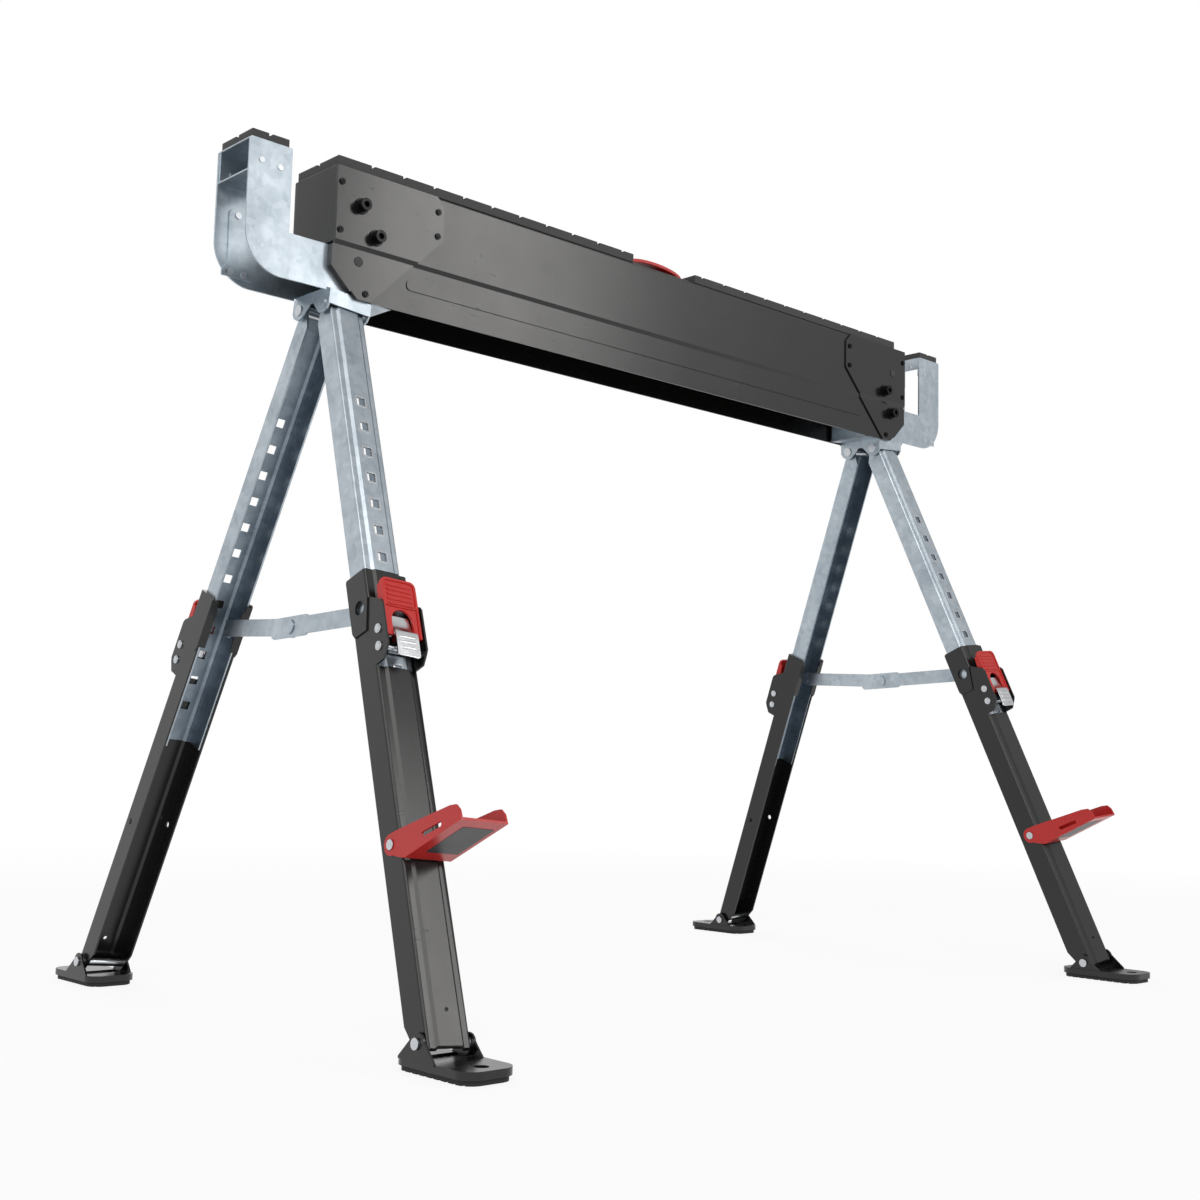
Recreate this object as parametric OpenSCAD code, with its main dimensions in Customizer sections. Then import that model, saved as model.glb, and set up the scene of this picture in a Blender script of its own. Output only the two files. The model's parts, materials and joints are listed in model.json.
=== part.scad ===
// Builders' trestle: a folding sawhorse with telescoping legs.
// X runs along the beam, the front faces -Y, the floor is z = 0.
// The beam's middle stands over the origin, legs fully drawn out.

/* [Beam] */
// Length of the crossbeam
beam_len = 920; // [860:10:1000]
// Half width of the beam's upper part, outside
beam_half = 36.6; // [36.6:0.1:37]
// Sheet thickness of the beam
beam_wall = 1.5; // [1.2:0.1:1.8]
// Height of the beam above the leg pivots
beam_rise = 137.4; // [137:0.1:139]
// Height of the beam section
beam_high = 128.3; // [128:0.1:129]
// Depth of the crease under which the beam is narrower
crease_step = 2.5; // [1.5:0.1:2.5]
// Distance from the beam's top down to the crease
crease_drop = 76; // [74:0.5:77]
// Height of the slanted crease
crease_high = 4; // [3:0.5:5]
// Radius of the beam's long top edges
beam_edge = 3; // [2:0.5:5]
// Distance of the pressed bead from the beam's ends
bead_start = 88; // [80:1:110]
// Height of the pressed bead
bead_high = 11; // [8:0.5:12]
// Distance from the beam's top down to the middle of the bead
bead_drop = 99.5; // [96:0.5:104]
// How far the bead stands out
bead_out = 1; // [0.5:0.1:1.5]

/* [Beam end plates] */
// Thickness of the end plates
plate_thick = 2; // [1.5:0.1:2]
// Length of an end plate along the beam
plate_len = 129; // [120:1:140]
// Size of the plate's upper corner cut
plate_corner = 11; // [6:1:14]
// Height of the plate's straight inner edge below the beam's top
plate_edge = 45.8; // [40:0.5:50]
// Cut of the lower outer corner, along the beam
nose_len = 29; // [24:1:32]
// Cut of the lower outer corner, upward
nose_high = 27.9; // [24:0.5:30]
// How far the turned-in edge reaches past the beam's skin
lip_deep = 6; // [4:0.5:6]
// Radius of the screw heads
screw_head = 3.3; // [3:0.1:4]
// Radius of the screw shanks
screw_shank = 1.6; // [1.2:0.1:2]

/* [Top pads] */
// Half width of the pads on the beam
pad_half = 36; // [32:0.5:36]
// Thickness of the beam pads
pad_thick = 10; // [6:0.5:10]
// Distance of the pads from the beam's left end
pad_left_in = 3; // [2:1:8]
// Distance of the pads from the beam's right end
pad_right_in = 21; // [16:1:26]
// Spacing of the cross notches
notch_pitch = 38.1; // [30:0.1:45]
// Half width of a cross notch at the top
notch_half = 3; // [1:0.1:3]
// Depth of a cross notch
notch_deep = 2; // [1:0.1:3]
// Position of the left edge of the gap for the handle
gap_left = -58; // [-64:1:-56]
// Position of the right edge of the gap for the handle
gap_right = 44; // [43:1:50]

/* [Handle] */
// Middle of the handle along the beam
grip_mid = -7; // [-9:1:-5]
// Half length of the handle
grip_half = 46; // [42:1:48]
// Half width of the handle strap
grip_wide = 20; // [15:1:24]
// Thickness of the handle strap
grip_thick = 5; // [4:0.5:6]
// Height of the handle's arch above the beam
grip_rise = 16.5; // [14:0.5:20]
// How far the handle can be drawn up
grip_lift = 15; // [10:1:16]

/* [Pivots and end bolts] */
// Upper bolt: distance from the beam's end
bolt_a_in = 28; // [27:0.5:29]
// Upper bolt: distance below the beam's top
bolt_a_drop = 36; // [35:0.5:37]
// Middle bolt: distance from the beam's end
bolt_b_in = 46.5; // [46:0.5:47]
// Middle bolt: distance below the beam's top
bolt_b_drop = 63.5; // [63:0.5:64]
// Lower bolt: distance from the beam's end
bolt_c_in = 29; // [28.5:0.5:29.5]
// Lower bolt: distance below the beam's top
bolt_c_drop = 91; // [90.5:0.5:91.5]
// Radius of the bolt shanks
bolt_shank = 4; // [3.5:0.5:4]
// Radius of the socket heads
bolt_head = 6.2; // [5.5:0.1:6.5]
// Radius of the washers
bolt_washer = 8; // [7:0.5:9]
// How far an end folds under the beam, degrees
fold_swing = 60; // [30:5:60]

/* [End arms] */
// Half width over the arm's cheeks
arm_half = 29.6; // [28:0.1:29.6]
// Sheet thickness of arms and saddle
arm_sheet = 2; // [1.5:0.1:2.2]
// Distance of the arm's outer edge from the beam's end
arm_out = 92.1; // [88:0.5:100]
// Width of the board slot between arm and beam
slot_wide = 45.8; // [42:0.1:50]
// Depth of the board slot
slot_deep = 79.6; // [78:0.1:79.8]
// Height of the arm's bottom edge above the leg pivot
arm_under = 13.1; // [13:0.1:14]
// Radius of the arm's outer lower corner
arm_round = 40; // [30:1:44]
// Thickness of the arm pads
arm_pad_thick = 9; // [7:0.5:12]
// Depth of the tray under the left arm's pad
tray_deep = 29; // [24:1:34]

/* [Legs] */
// Distance of the leg pivots from the beam's end
leg_in = 23.8; // [23:0.1:25]
// Distance of the leg pivots from the middle plane
leg_side = 20.6; // [20.4:0.1:20.8]
// Splay of each leg, degrees
splay = 22.61; // [18:0.01:22.7]
// Outward lean of the legs along the beam, degrees
lean = 5.14; // [4:0.01:6]
// Length from leg pivot to foot pivot, legs fully out
leg_reach = 711.9; // [700:0.1:740]
// Height of the foot pivot above the floor
foot_rise = 21.06; // [20:0.02:24]
// Radius of the leg pins
pin_r = 4; // [3:0.5:4]
// Radial clearance of turning pins
pin_play = 0.05; // [0.02:0.01:0.1]
// Sheet thickness of the legs
leg_sheet = 1.8; // [1.5:0.1:1.8]
// Half width of the upper leg
upper_half = 19.5; // [19:0.1:19.5]
// Height of the upper leg's raised panel over the pivot line
upper_panel = 7.65; // [7:0.05:7.65]
// Depth of the upper leg's open side
upper_open = 17; // [15:0.5:17]
// Length of the upper leg below its pivot
upper_len = 459; // [440:1:470]
// Clearance between upper and lower leg, each side
slide_play = 0.35; // [0.3:0.05:0.4]
// Start of the lower leg, measured from the leg pivot
lower_top = 297.5; // [296:0.5:302]
// Height of the raised panel over the side strips
panel_rise = 2; // [1.5:0.1:2.2]
// Half width of the raised panel
panel_half = 10.5; // [9:0.5:12]
// Width of the slanted step beside the panel
panel_step = 2.8; // [2:0.2:3.4]
// Corner radius of the leg sections
leg_edge = 2.6; // [2:0.1:3]
// First lock hole below the leg pivot
hole_first = 112.65; // [112:0.05:113]
// Pitch of the lock holes
hole_pitch = 28; // [27:0.5:29]
// Number of lock holes
hole_count = 12; // [8:1:12]
// Side length of a lock hole
hole_side = 8.5; // [7:0.5:9]

/* [Latch] */
// Lock lever pivot, distance down the leg
lever_s = 360.5; // [360:0.5:361]
// Lock lever pivot, distance outward
lever_t = 16.1; // [16:0.1:16.5]
// Thumb lever pivot, distance down the leg
thumb_s = 376.3; // [376:0.1:377]
// Thumb lever pivot, distance outward
thumb_t = 13.9; // [13.7:0.1:14.2]
// Half width of the lock lever
lever_half = 18.7; // [18:0.1:18.7]
// Upper edge of the lock lever
lever_top = 312; // [310:1:316]
// Lower edge of the lock lever
lever_end = 368; // [366:0.5:368]
// Distance outward of the lever's face
lever_face = 23.2; // [23:0.1:24]
// Half width of the lever's archway
arch_half = 11.5; // [11:0.1:12]
// Half width of the thumb lever's paddle
thumb_half = 12; // [11:0.5:14]
// Lower edge of the thumb paddle
thumb_end = 389; // [386:1:390]
// Radius of the lever rivets
rivet_r = 2.5; // [2:0.1:3]

/* [Spreaders] */
// Spreader pivot, distance down the upper leg
spread_s = 331; // [330:1:332]
// Spreader pivot, distance inward of the leg pivot line
spread_t = 5; // [4.5:0.5:5.5]
// How far the centre rivet hangs below the pivots
spread_sag = 6; // [4:0.5:8]
// Height of a spreader strap
strap_high = 17; // [14:1:18]
// Thickness of a spreader strap
strap_thick = 2.5; // [2:0.1:2.5]
// Height of the wide centre plate
centre_high = 20.5; // [19:0.5:21]

/* [Feet] */
// Half width of a foot
foot_half = 26; // [25:0.5:27]
// Length of the foot toward the middle
foot_in = 33; // [30:1:36]
// Length of the foot outward
foot_out = 64; // [58:1:70]
// Top of the foot plate above the floor
foot_top = 11; // [10.5:0.5:11.5]
// Thickness of the rubber sole
sole_thick = 4.5; // [4:0.5:5]

/* [Board supports] */
// Support pivot, distance down the leg
shelf_s = 549.9; // [545:0.5:555]
// Support pivot, distance inward
shelf_t = 2.8; // [2.5:0.1:3]
// Sheet thickness of the supports
shelf_sheet = 2; // [1.5:0.1:2]
// Reach of a support from the leg's pivot line
shelf_reach = 88.6; // [80:0.2:92]

/* [Hidden] */
$fn = 48;
seam = 0.3;
// Seat of a rivet in its own sheet
rivet_seat = 0.01;
half_len = beam_len / 2;
pivot_z = foot_rise + leg_reach * cos(splay) * cos(lean);
top_z = pivot_z + beam_rise;
bottom_z = top_z - beam_high;
crease_top = top_z - crease_drop;
crease_bot = crease_top - crease_high;
low_half = beam_half - crease_step;
nose_z = bottom_z + nose_high;
bolt_a = [bolt_a_in, top_z - bolt_a_drop];
bolt_b = [bolt_b_in, top_z - bolt_b_drop];
bolt_c = [bolt_c_in, top_z - bolt_c_drop];
slot_z = top_z - slot_deep;
arm_z = pivot_z + arm_under;
cheek_in = arm_half - arm_sheet;
upper_strip = upper_panel - panel_rise;
lower_half = upper_half + slide_play + leg_sheet;
lower_panel = upper_panel + slide_play + leg_sheet;
lower_strip = lower_panel - panel_rise;
lower_open = upper_open + 1.2;
lower_in = lower_half - leg_sheet;
spread_y = leg_side + spread_s * sin(splay) - spread_t * cos(splay);
spread_z = -spread_s * cos(splay) - spread_t * sin(splay);
link_len = sqrt(spread_y * spread_y + spread_sag * spread_sag);
link_drop = atan2(spread_sag, spread_y);
foot_x = -half_len + leg_in - leg_reach * cos(splay) * sin(lean);
foot_y = -leg_side - leg_reach * sin(splay);

// Ends and rows: -1 is left or front, +1 is right or back
left = -1;
right = 1;
front = -1;
back = 1;

black = [0.07, 0.07, 0.08];
zinc = [0.68, 0.73, 0.78];
steel = [0.75, 0.76, 0.78];
red = [0.80, 0.08, 0.06];
pad_grey = [0.16, 0.16, 0.17];

// Points on an arc, for rounded sheet corners
function arc(cx, cy, r, a0, a1, n = 5) = [
    for (i = [0 : n]) [cx + r * cos(a0 + (a1 - a0) * i / n), cy + r * sin(a0 + (a1 - a0) * i / n)]
];
function flipped(pts) = [for (i = [len(pts) - 1 : -1 : 0]) [-pts[i][0], pts[i][1]]];
// Outward and down-the-leg distances as a point of the leg's side view
function ts(t, s) = [-t, -s];

module flip_x(on) {
    if (on) mirror([1, 0, 0]) children();
    else children();
}

module flip_y(on) {
    if (on) mirror([0, 1, 0]) children();
    else children();
}

module block(x0, x1, y0, y1, z0, z1) {
    translate([x0, y0, z0]) cube([x1 - x0, y1 - y0, z1 - z0]);
}

// An outline drawn in x and z, made solid from y0 to y1
module along_y(y0, y1) {
    translate([0, y1, 0]) rotate([90, 0, 0]) linear_extrude(y1 - y0) children();
}

// An outline drawn in y and z, made solid from x0 to x1
module along_x(x0, x1) {
    translate([x0, 0, 0]) rotate([90, 0, 90]) linear_extrude(x1 - x0) children();
}

module pin_y(x, z, y0, y1, r) {
    translate([x, y1, z]) rotate([90, 0, 0]) cylinder(h = y1 - y0, r = r);
}

module pin_x(y, z, x0, x1, r) {
    translate([x0, y, z]) rotate([0, 90, 0]) cylinder(h = x1 - x0, r = r);
}

module round_rect(x0, x1, y0, y1, r) {
    translate([x0 + r, y0]) square([x1 - x0 - 2 * r, y1 - y0]);
    translate([x0, y0 + r]) square([x1 - x0, y1 - y0 - 2 * r]);
    for (x = [x0 + r, x1 - r], y = [y0 + r, y1 - r]) translate([x, y]) circle(r);
}

// Puts an end's parts at the left or right end, x counted from the beam's end inward
module at_end(end) {
    flip_x(end > 0) translate([-half_len, 0, 0]) children();
}

// The leaning frame of an end, its origin midway between the leg pivots
module at_saddle(end) {
    flip_x(end > 0) translate([-half_len + leg_in, 0, pivot_z]) rotate([0, lean, 0]) children();
}

// The frame of one leg: origin on its pivot, -z down the leg, -y outward
module at_leg(end, row) {
    flip_x(end > 0) flip_y(row > 0)
        translate([-half_len + leg_in, -leg_side, pivot_z])
            rotate([-splay, lean, 0]) children();
}

module at_foot(end, row) {
    flip_x(end > 0) flip_y(row > 0) translate([foot_x, foot_y, foot_rise]) children();
}

// Crossbeam

module beam_half_section(outer, deep) {
    polygon([
        [0, top_z], [outer, top_z], [outer, crease_top],
        [outer - crease_step, crease_bot], [outer - crease_step, bottom_z],
        [outer - crease_step - deep, bottom_z], [outer - crease_step - deep, crease_bot],
        [outer - deep, crease_top], [outer - deep, top_z - deep], [0, top_z - deep]
    ]);
}

module beam_edges_cut() {
    for (side = [0, 1]) mirror([side, 0]) difference() {
        translate([beam_half - beam_edge, top_z - beam_edge]) square([beam_edge + 1, beam_edge + 1]);
        translate([beam_half - beam_edge, top_z - beam_edge]) circle(beam_edge);
    }
}

module nose_cut() {
    along_y(-beam_half - 5, beam_half + 5)
        polygon([
            [-5, nose_z + 5 * nose_high / nose_len], [-5, bottom_z - 5], [nose_len + 5.2, bottom_z - 5]
        ]);
}

function screw_spots() = [
    [5, top_z - 17], [5, top_z - 65], [121.5, top_z - 17],
    [121.5, top_z - 42.5], [38.3, bottom_z + 7]
];
function skin_at(z) = z > crease_bot ? beam_half : low_half;

module screw_holes() {
    for (p = screw_spots()) pin_y(p[0], p[1], -beam_half - 5, beam_half + 5, screw_shank);
}

module bolt_holes() {
    for (p = [bolt_a, bolt_b, bolt_c]) pin_y(p[0], p[1], -beam_half - 5, beam_half + 5, bolt_shank);
}

handle_leg_x = grip_half - 3;
handle_slot = 3;

module beam_channel() {
    color(black) difference() {
        union() {
            along_x(-half_len, half_len) difference() {
                union() {
                    beam_half_section(beam_half, beam_wall);
                    mirror([1, 0]) beam_half_section(beam_half, beam_wall);
                }
                beam_edges_cut();
            }
            for (side = [front, back]) flip_y(side > 0)
                along_y(-low_half - bead_out, -low_half + beam_wall / 2)
                    round_rect(-half_len + bead_start, half_len - bead_start,
                        top_z - bead_drop - bead_high / 2, top_z - bead_drop + bead_high / 2,
                        bead_high / 2 - 0.1);
        }
        for (end = [left, right]) at_end(end) {
            nose_cut();
            screw_holes();
            bolt_holes();
        }
        for (side = [-1, 1]) translate([grip_mid + side * handle_leg_x, 0, top_z])
            cube([2 * handle_slot, 2 * grip_wide - 5, 10], center = true);
    }
}

module plate_outline() {
    polygon([
        [0, top_z], [plate_len - 10, top_z], [plate_len, top_z - plate_corner],
        [plate_len, top_z - plate_edge], [45.2, bottom_z], [nose_len, bottom_z],
        [0, nose_z], [0, crease_bot]
    ]);
}

module plate_section() {
    polygon([
        [beam_half, top_z], [beam_half + plate_thick, top_z - 1],
        [beam_half + plate_thick, crease_top + 0.8],
        [low_half + plate_thick, crease_bot + 0.8], [low_half + plate_thick, bottom_z],
        [low_half, bottom_z], [low_half, crease_bot], [beam_half, crease_top]
    ]);
}

module end_plates(end) {
    color(black) at_end(end) for (side = [front, back]) flip_y(side < 0) {
        difference() {
            intersection() {
                along_x(0, plate_len) plate_section();
                along_y(0, beam_half + 5) plate_outline();
            }
            screw_holes();
            bolt_holes();
        }
        // The edge turned in toward the arm
        along_y(low_half + plate_thick - lip_deep, low_half + plate_thick)
            polygon([[-plate_thick, crease_bot], [-plate_thick, nose_z - 0.9],
                [20.6, bottom_z + 5.4], [22, bottom_z + 6.74], [0, nose_z], [0, crease_bot]]);
    }
}

module end_caps() {
    cap_half = beam_half - beam_wall;
    cap_top = top_z - beam_wall;
    color(pad_grey) for (end = [left, right]) at_end(end) difference() {
        union() {
            block(0, 2, -cap_half, cap_half, crease_top, cap_top);
            block(2, 9, -cap_half, cap_half, cap_top - 2, cap_top);
            for (side = [0, 1]) mirror([0, side, 0])
                block(2, 9, cap_half - 2, cap_half, crease_top + 2, cap_top - 2);
        }
        screw_holes();
    }
}

// Pads

module pad_section(half, thick) {
    polygon([
        [-half, 0], [half, 0], [half, thick - 2.2], [half - 2.2, thick], [2.5, thick],
        [1.2, thick - 1.4], [-1.2, thick - 1.4], [-2.5, thick], [-half + 2.2, thick], [-half, thick - 2.2]
    ]);
}

module notch(x, half, thick) {
    translate([x, 0, thick]) along_y(-half - 1, half + 1)
        polygon([[-notch_half - 0.2, 0.2], [0, -notch_deep], [notch_half + 0.2, 0.2]]);
}

// A ribbed pad between x0 and x1, first notch at x_first
module ribbed_pad(x0, x1, x_first, half, thick, pitch) {
    difference() {
        along_x(x0, x1) pad_section(half, thick);
        for (x = [x_first : pitch : x1 - 8]) notch(x, half, thick);
        for (x = [x0, x1]) translate([x, 0, thick]) rotate([0, 45, 0])
            cube([3, 2 * half + 2, 3], center = true);
    }
}

module top_pad_left() {
    color(pad_grey) translate([0, 0, top_z])
        ribbed_pad(-half_len + pad_left_in, gap_left, -half_len + pad_left_in + 39.2,
            pad_half, pad_thick, notch_pitch);
}

module top_pad_right() {
    color(pad_grey) translate([0, 0, top_z])
        ribbed_pad(gap_right, half_len - pad_right_in, gap_right + 13.8, pad_half, pad_thick, notch_pitch);
}

// Fasteners of the beam

module beam_screws() {
    color(black) for (end = [left, right]) at_end(end)
        for (side = [front, back], p = screw_spots()) flip_y(side < 0) {
            face = skin_at(p[1]) + plate_thick;
            difference() {
                union() {
                    pin_y(p[0], p[1], face, face + 1.2, screw_head);
                    pin_y(p[0], p[1], face + 1.2, face + 1.9, screw_head - 1);
                    pin_y(p[0], p[1], face - 5, face, screw_shank);
                }
                translate([p[0], face + 1.9, p[1]]) cube([3.4, 1.6, 0.7], center = true);
                translate([p[0], face + 1.9, p[1]]) cube([0.7, 1.6, 3.4], center = true);
            }
        }
}

// A through bolt with socket head in front and nut behind
module end_bolt(p) {
    face = skin_at(p[1]) + plate_thick;
    skin = skin_at(p[1]) - beam_wall;
    color(black) difference() {
        union() {
            pin_y(p[0], p[1], -face - 1.6, -face, bolt_washer);
            pin_y(p[0], p[1], -face - 9.6, -face - 1.6, bolt_head);
            pin_y(p[0], p[1], -face, face + 8, bolt_shank);
        }
        translate([p[0], -face - 5, p[1]]) rotate([90, 0, 0]) cylinder(h = 10, r = 3.4, $fn = 6);
    }
    color(black) difference() {
        union() {
            pin_y(p[0], p[1], face, face + 1.6, bolt_washer);
            translate([p[0], face + 7.6, p[1]]) rotate([90, 0, 0]) cylinder(h = 6, r = 7.5, $fn = 6);
        }
        pin_y(p[0], p[1], face - 1, face + 9, bolt_shank);
    }
    // Spacer sleeves between the arm's cheeks and the beam's walls
    color(steel) for (side = [0, 1]) mirror([0, side, 0]) difference() {
        pin_y(p[0], p[1], arm_half + seam, skin, bolt_washer - 1);
        pin_y(p[0], p[1], arm_half, skin + 1, bolt_shank);
    }
}

module end_bolts() {
    at_end(left) {
        end_bolt(bolt_a);
        end_bolt(bolt_b);
    }
    at_end(right) {
        end_bolt(bolt_b);
        end_bolt(bolt_c);
    }
}

module hole_plug(p) {
    face = skin_at(p[1]) + plate_thick;
    for (side = [0, 1]) mirror([0, side, 0]) {
        pin_y(p[0], p[1], face, face + 0.8, bolt_shank + 0.9);
        pin_y(p[0], p[1], face - 4, face, bolt_shank);
    }
}

module hole_plugs() {
    color(pad_grey) {
        at_end(left) hole_plug(bolt_c);
        at_end(right) hole_plug(bolt_a);
    }
}

module carry_handle() {
    leg_in_slot = handle_leg_x - 1.5;
    low = top_z - 20;
    color(red) translate([grip_mid, 0, 0]) {
        difference() {
            along_y(-grip_wide, grip_wide) polygon([
                [-grip_half, top_z + seam], [-grip_half, top_z + 3], [-grip_half + 13, top_z + grip_rise],
                [grip_half - 13, top_z + grip_rise], [grip_half, top_z + 3], [grip_half, top_z + seam],
                [grip_half - 7, top_z + seam], [grip_half - 14, top_z + grip_rise - grip_thick],
                [-grip_half + 14, top_z + grip_rise - grip_thick], [-grip_half + 7, top_z + seam]
            ]);
            for (x = [-16 : 8 : 16]) translate([x, 0, top_z + grip_rise])
                cube([3, 2 * grip_wide - 10, 1.2], center = true);
        }
        for (side = [0, 1]) mirror([side, 0, 0]) {
            block(leg_in_slot, leg_in_slot + 3, -grip_wide + 4, grip_wide - 4, low - 3, top_z + 1.5);
            block(leg_in_slot - 5, leg_in_slot + 1, -grip_wide + 4, grip_wide - 4, low - 3, low);
        }
    }
}

// End arms

// A slot along an arc about c, starting at the point c + from and turned by sweep
function arc_slot(c, from, sweep) =
    let(r = norm(from), a0 = atan2(from[1], from[0]), a1 = a0 - sweep, half = bolt_shank + 0.4)
    concat(
        arc(c[0], c[1], r + half, a0, a1, 16),
        arc(c[0] + r * cos(a1), c[1] + r * sin(a1), half, a1 - 15, a1 - 165, 8),
        arc(c[0], c[1], r - half, a1, a0, 16),
        arc(c[0] + r * cos(a0), c[1] + r * sin(a0), half, a0 + 165, a0 + 15, 8)
    );

arm_inner = 74;
function arm_floor(u) = pivot_z + arm_under / cos(lean) + 0.3 - (u - leg_in) * tan(lean);
// The raised part of the cheek that reaches the end's own pivot bolt or middle bolt
function arm_lobe(end) = end < 0 ? concat(
        [[4, slot_z], [4, slot_z + 24]], arc(bolt_a[0], bolt_a[1], 14, 190, -10, 16),
        [[58, slot_z + 24], [58, slot_z]]
    ) : concat(
        [[bolt_b_in - 11, slot_z]], arc(bolt_b[0], bolt_b[1], 11, 180, 0, 16), [[bolt_b_in + 11, slot_z]]
    );

module arm_outline(end) {
    pivot = end < 0 ? bolt_a : bolt_c;
    difference() {
        polygon(concat(
            [[-arm_out, top_z - 2], [-arm_out + 2, top_z], [-slot_wide - 1, top_z], [-slot_wide, top_z - 1],
                [-slot_wide, slot_z]],
            arm_lobe(end),
            [[arm_inner, slot_z], [arm_inner, arm_floor(arm_inner)], [-2, arm_floor(-2)], [-2, arm_z]],
            arc(-arm_out + arm_round, arm_z + arm_round, arm_round, 270, 180, 16)
        ));
        translate(pivot) circle(bolt_shank + pin_play);
        polygon(arc_slot(pivot, bolt_b - pivot, fold_swing));
        for (p = tray_spots()) translate(p) circle(1.9);
    }
}

function tray_spots() = [[-78.6, top_z - 17.3], [-58.4, top_z - 19.2]];
function strap_spots() = [[-68.9, top_z - 55.4], [-74.8, arm_z + 12.3], [-60.3, arm_z + 11.9]];

module strap_holes(end) {
    side = -end;
    for (p = strap_spots()) pin_y(p[0], p[1], side > 0 ? 20 : -33, side > 0 ? 33 : -20, 2);
}

module end_arm(end) {
    color(zinc) {
        difference() {
            at_end(end) for (side = [0, 1]) mirror([0, side, 0])
                along_y(cheek_in, arm_half) arm_outline(end);
            at_end(end) strap_holes(end);
        }
        // The web over the saddle
        difference() {
            at_saddle(end) block(-24, 48, -cheek_in, cheek_in, arm_under, arm_under + arm_sheet);
            saddle_bolt_holes(end);
        }
    }
}

module arm_tray(end) {
    deep = end < 0 ? tray_deep : 23;
    wall = 1.6;
    x0 = -arm_out + 1.5;
    x1 = -slot_wide - 1;
    color(zinc) at_end(end) difference() {
        union() {
            block(x0, x1, -cheek_in, cheek_in, top_z - wall, top_z);
            for (side = [0, 1]) mirror([0, side, 0])
                block(x0, x1, cheek_in - wall, cheek_in, top_z - deep, top_z - wall);
            block(x1 - wall, x1, -cheek_in + wall, cheek_in - wall, top_z - 13, top_z - wall);
            if (end < 0)
                block(x0, x1, -cheek_in + wall, cheek_in - wall, top_z - deep, top_z - deep + wall);
        }
        if (end < 0) translate([-70, 0, top_z - deep - 1]) cylinder(h = 4, r = 8);
        for (p = tray_spots()) pin_y(p[0], p[1], -arm_half - 1, arm_half + 1, 1.9);
        for (y = [-14, 14]) pin_x(y, top_z - 7.5, x1 - 4, x1 + 1, 2.2);
    }
}

module arm_pad(end) {
    color(pad_grey) at_end(end) translate([0, 0, top_z])
        ribbed_pad(-arm_out + 3, -slot_wide - 3, -arm_out + 23, 27.5, arm_pad_thick, notch_pitch);
}

module arm_strap(end) {
    side = -end;
    top = strap_spots()[0];
    foot_a = strap_spots()[1];
    foot_b = strap_spots()[2];
    color(steel) at_end(end) difference() {
        flip_y(side < 0) along_y(cheek_in - 1.5, cheek_in) polygon(concat(
            arc(top[0], top[1], 7, 180, 0, 12),
            [[foot_b[0] + 1, foot_b[1] + 10], [foot_b[0] + 5.5, foot_b[1]], [foot_b[0] + 5.5, foot_b[1] - 5],
                [foot_a[0] - 5.5, foot_a[1] - 5], [foot_a[0] - 5.5, foot_a[1]],
                [foot_a[0] - 1, foot_a[1] + 10]]
        ));
        strap_holes(end);
    }
}

// Saddle that carries both legs of an end

saddle_out = 24.2;
saddle_in = saddle_out - arm_sheet;
saddle_half = 32.2;

module saddle_bolt_holes(end) {
    at_saddle(end) for (x = [-9, 10]) translate([x, 0, arm_under - 5]) cylinder(h = 20, r = 3);
}

module leg_saddle(end) {
    under = arm_under - arm_sheet;
    color(zinc) difference() {
        at_saddle(end) difference() {
            union() {
                block(-saddle_out, saddle_out, -saddle_half, saddle_half, under, arm_under);
                for (side = [0, 1]) mirror([0, side, 0])
                    block(-saddle_out, saddle_out, saddle_half - arm_sheet, saddle_half, -2, under);
                for (side = [0, 1]) mirror([side, 0, 0]) along_x(saddle_in, saddle_out) {
                    polygon([[-saddle_half, under], [saddle_half, under],
                        [saddle_half, -2], [leg_side + 8.5, -7], [leg_side, -10], [leg_side - 8, -6],
                        [4, 3], [-4, 3], [-leg_side + 8, -6], [-leg_side, -10],
                        [-leg_side - 8.5, -7], [-saddle_half, -2]]);
                    for (y = [-leg_side, leg_side]) translate([y, 0]) circle(10);
                }
            }
            for (y = [-leg_side, leg_side]) pin_x(y, 0, -40, 40, pin_r);
        }
        saddle_bolt_holes(end);
    }
}

// Rivets, leg pins and saddle bolts of one end
module end_rivets(end) {
    side = -end;
    color(steel) at_end(end) {
        for (p = tray_spots(), m = [0, 1]) mirror([0, m, 0]) {
            pin_y(p[0], p[1], cheek_in - 2.6, arm_half + 0.01, 1.9);
            pin_y(p[0], p[1], arm_half, arm_half + 0.6, 3);
        }
        flip_y(side < 0) for (p = strap_spots()) {
            pin_y(p[0], p[1], cheek_in - 1.51, arm_half + 0.01, 2);
            pin_y(p[0], p[1], cheek_in - 2.5, cheek_in - 1.5, 3.4);
            pin_y(p[0], p[1], arm_half, arm_half + seam, 3);
        }
    }
    color(steel) at_saddle(end) {
        for (y = [-leg_side, leg_side]) {
            pin_x(y, 0, -saddle_out - 1.4, saddle_out + 1.4, pin_r);
            for (m = [0, 1]) mirror([m, 0, 0]) {
                pin_x(y, 0, upper_half + seam, saddle_in, 6);
                pin_x(y, 0, saddle_out, saddle_out + 1.4, 5.6);
            }
        }
        for (x = [-9, 10]) translate([x, 0, 0]) {
            translate([0, 0, arm_under - arm_sheet]) cylinder(h = 2 * arm_sheet + 1, r = 3);
            translate([0, 0, arm_under - arm_sheet - 4]) cylinder(h = 4, r = 5.8, $fn = 6);
            translate([0, 0, arm_under + arm_sheet]) cylinder(h = 4, r = 5.8, $fn = 6);
        }
    }
}

// Leg sections: a channel with a raised panel and an open inner side

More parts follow.
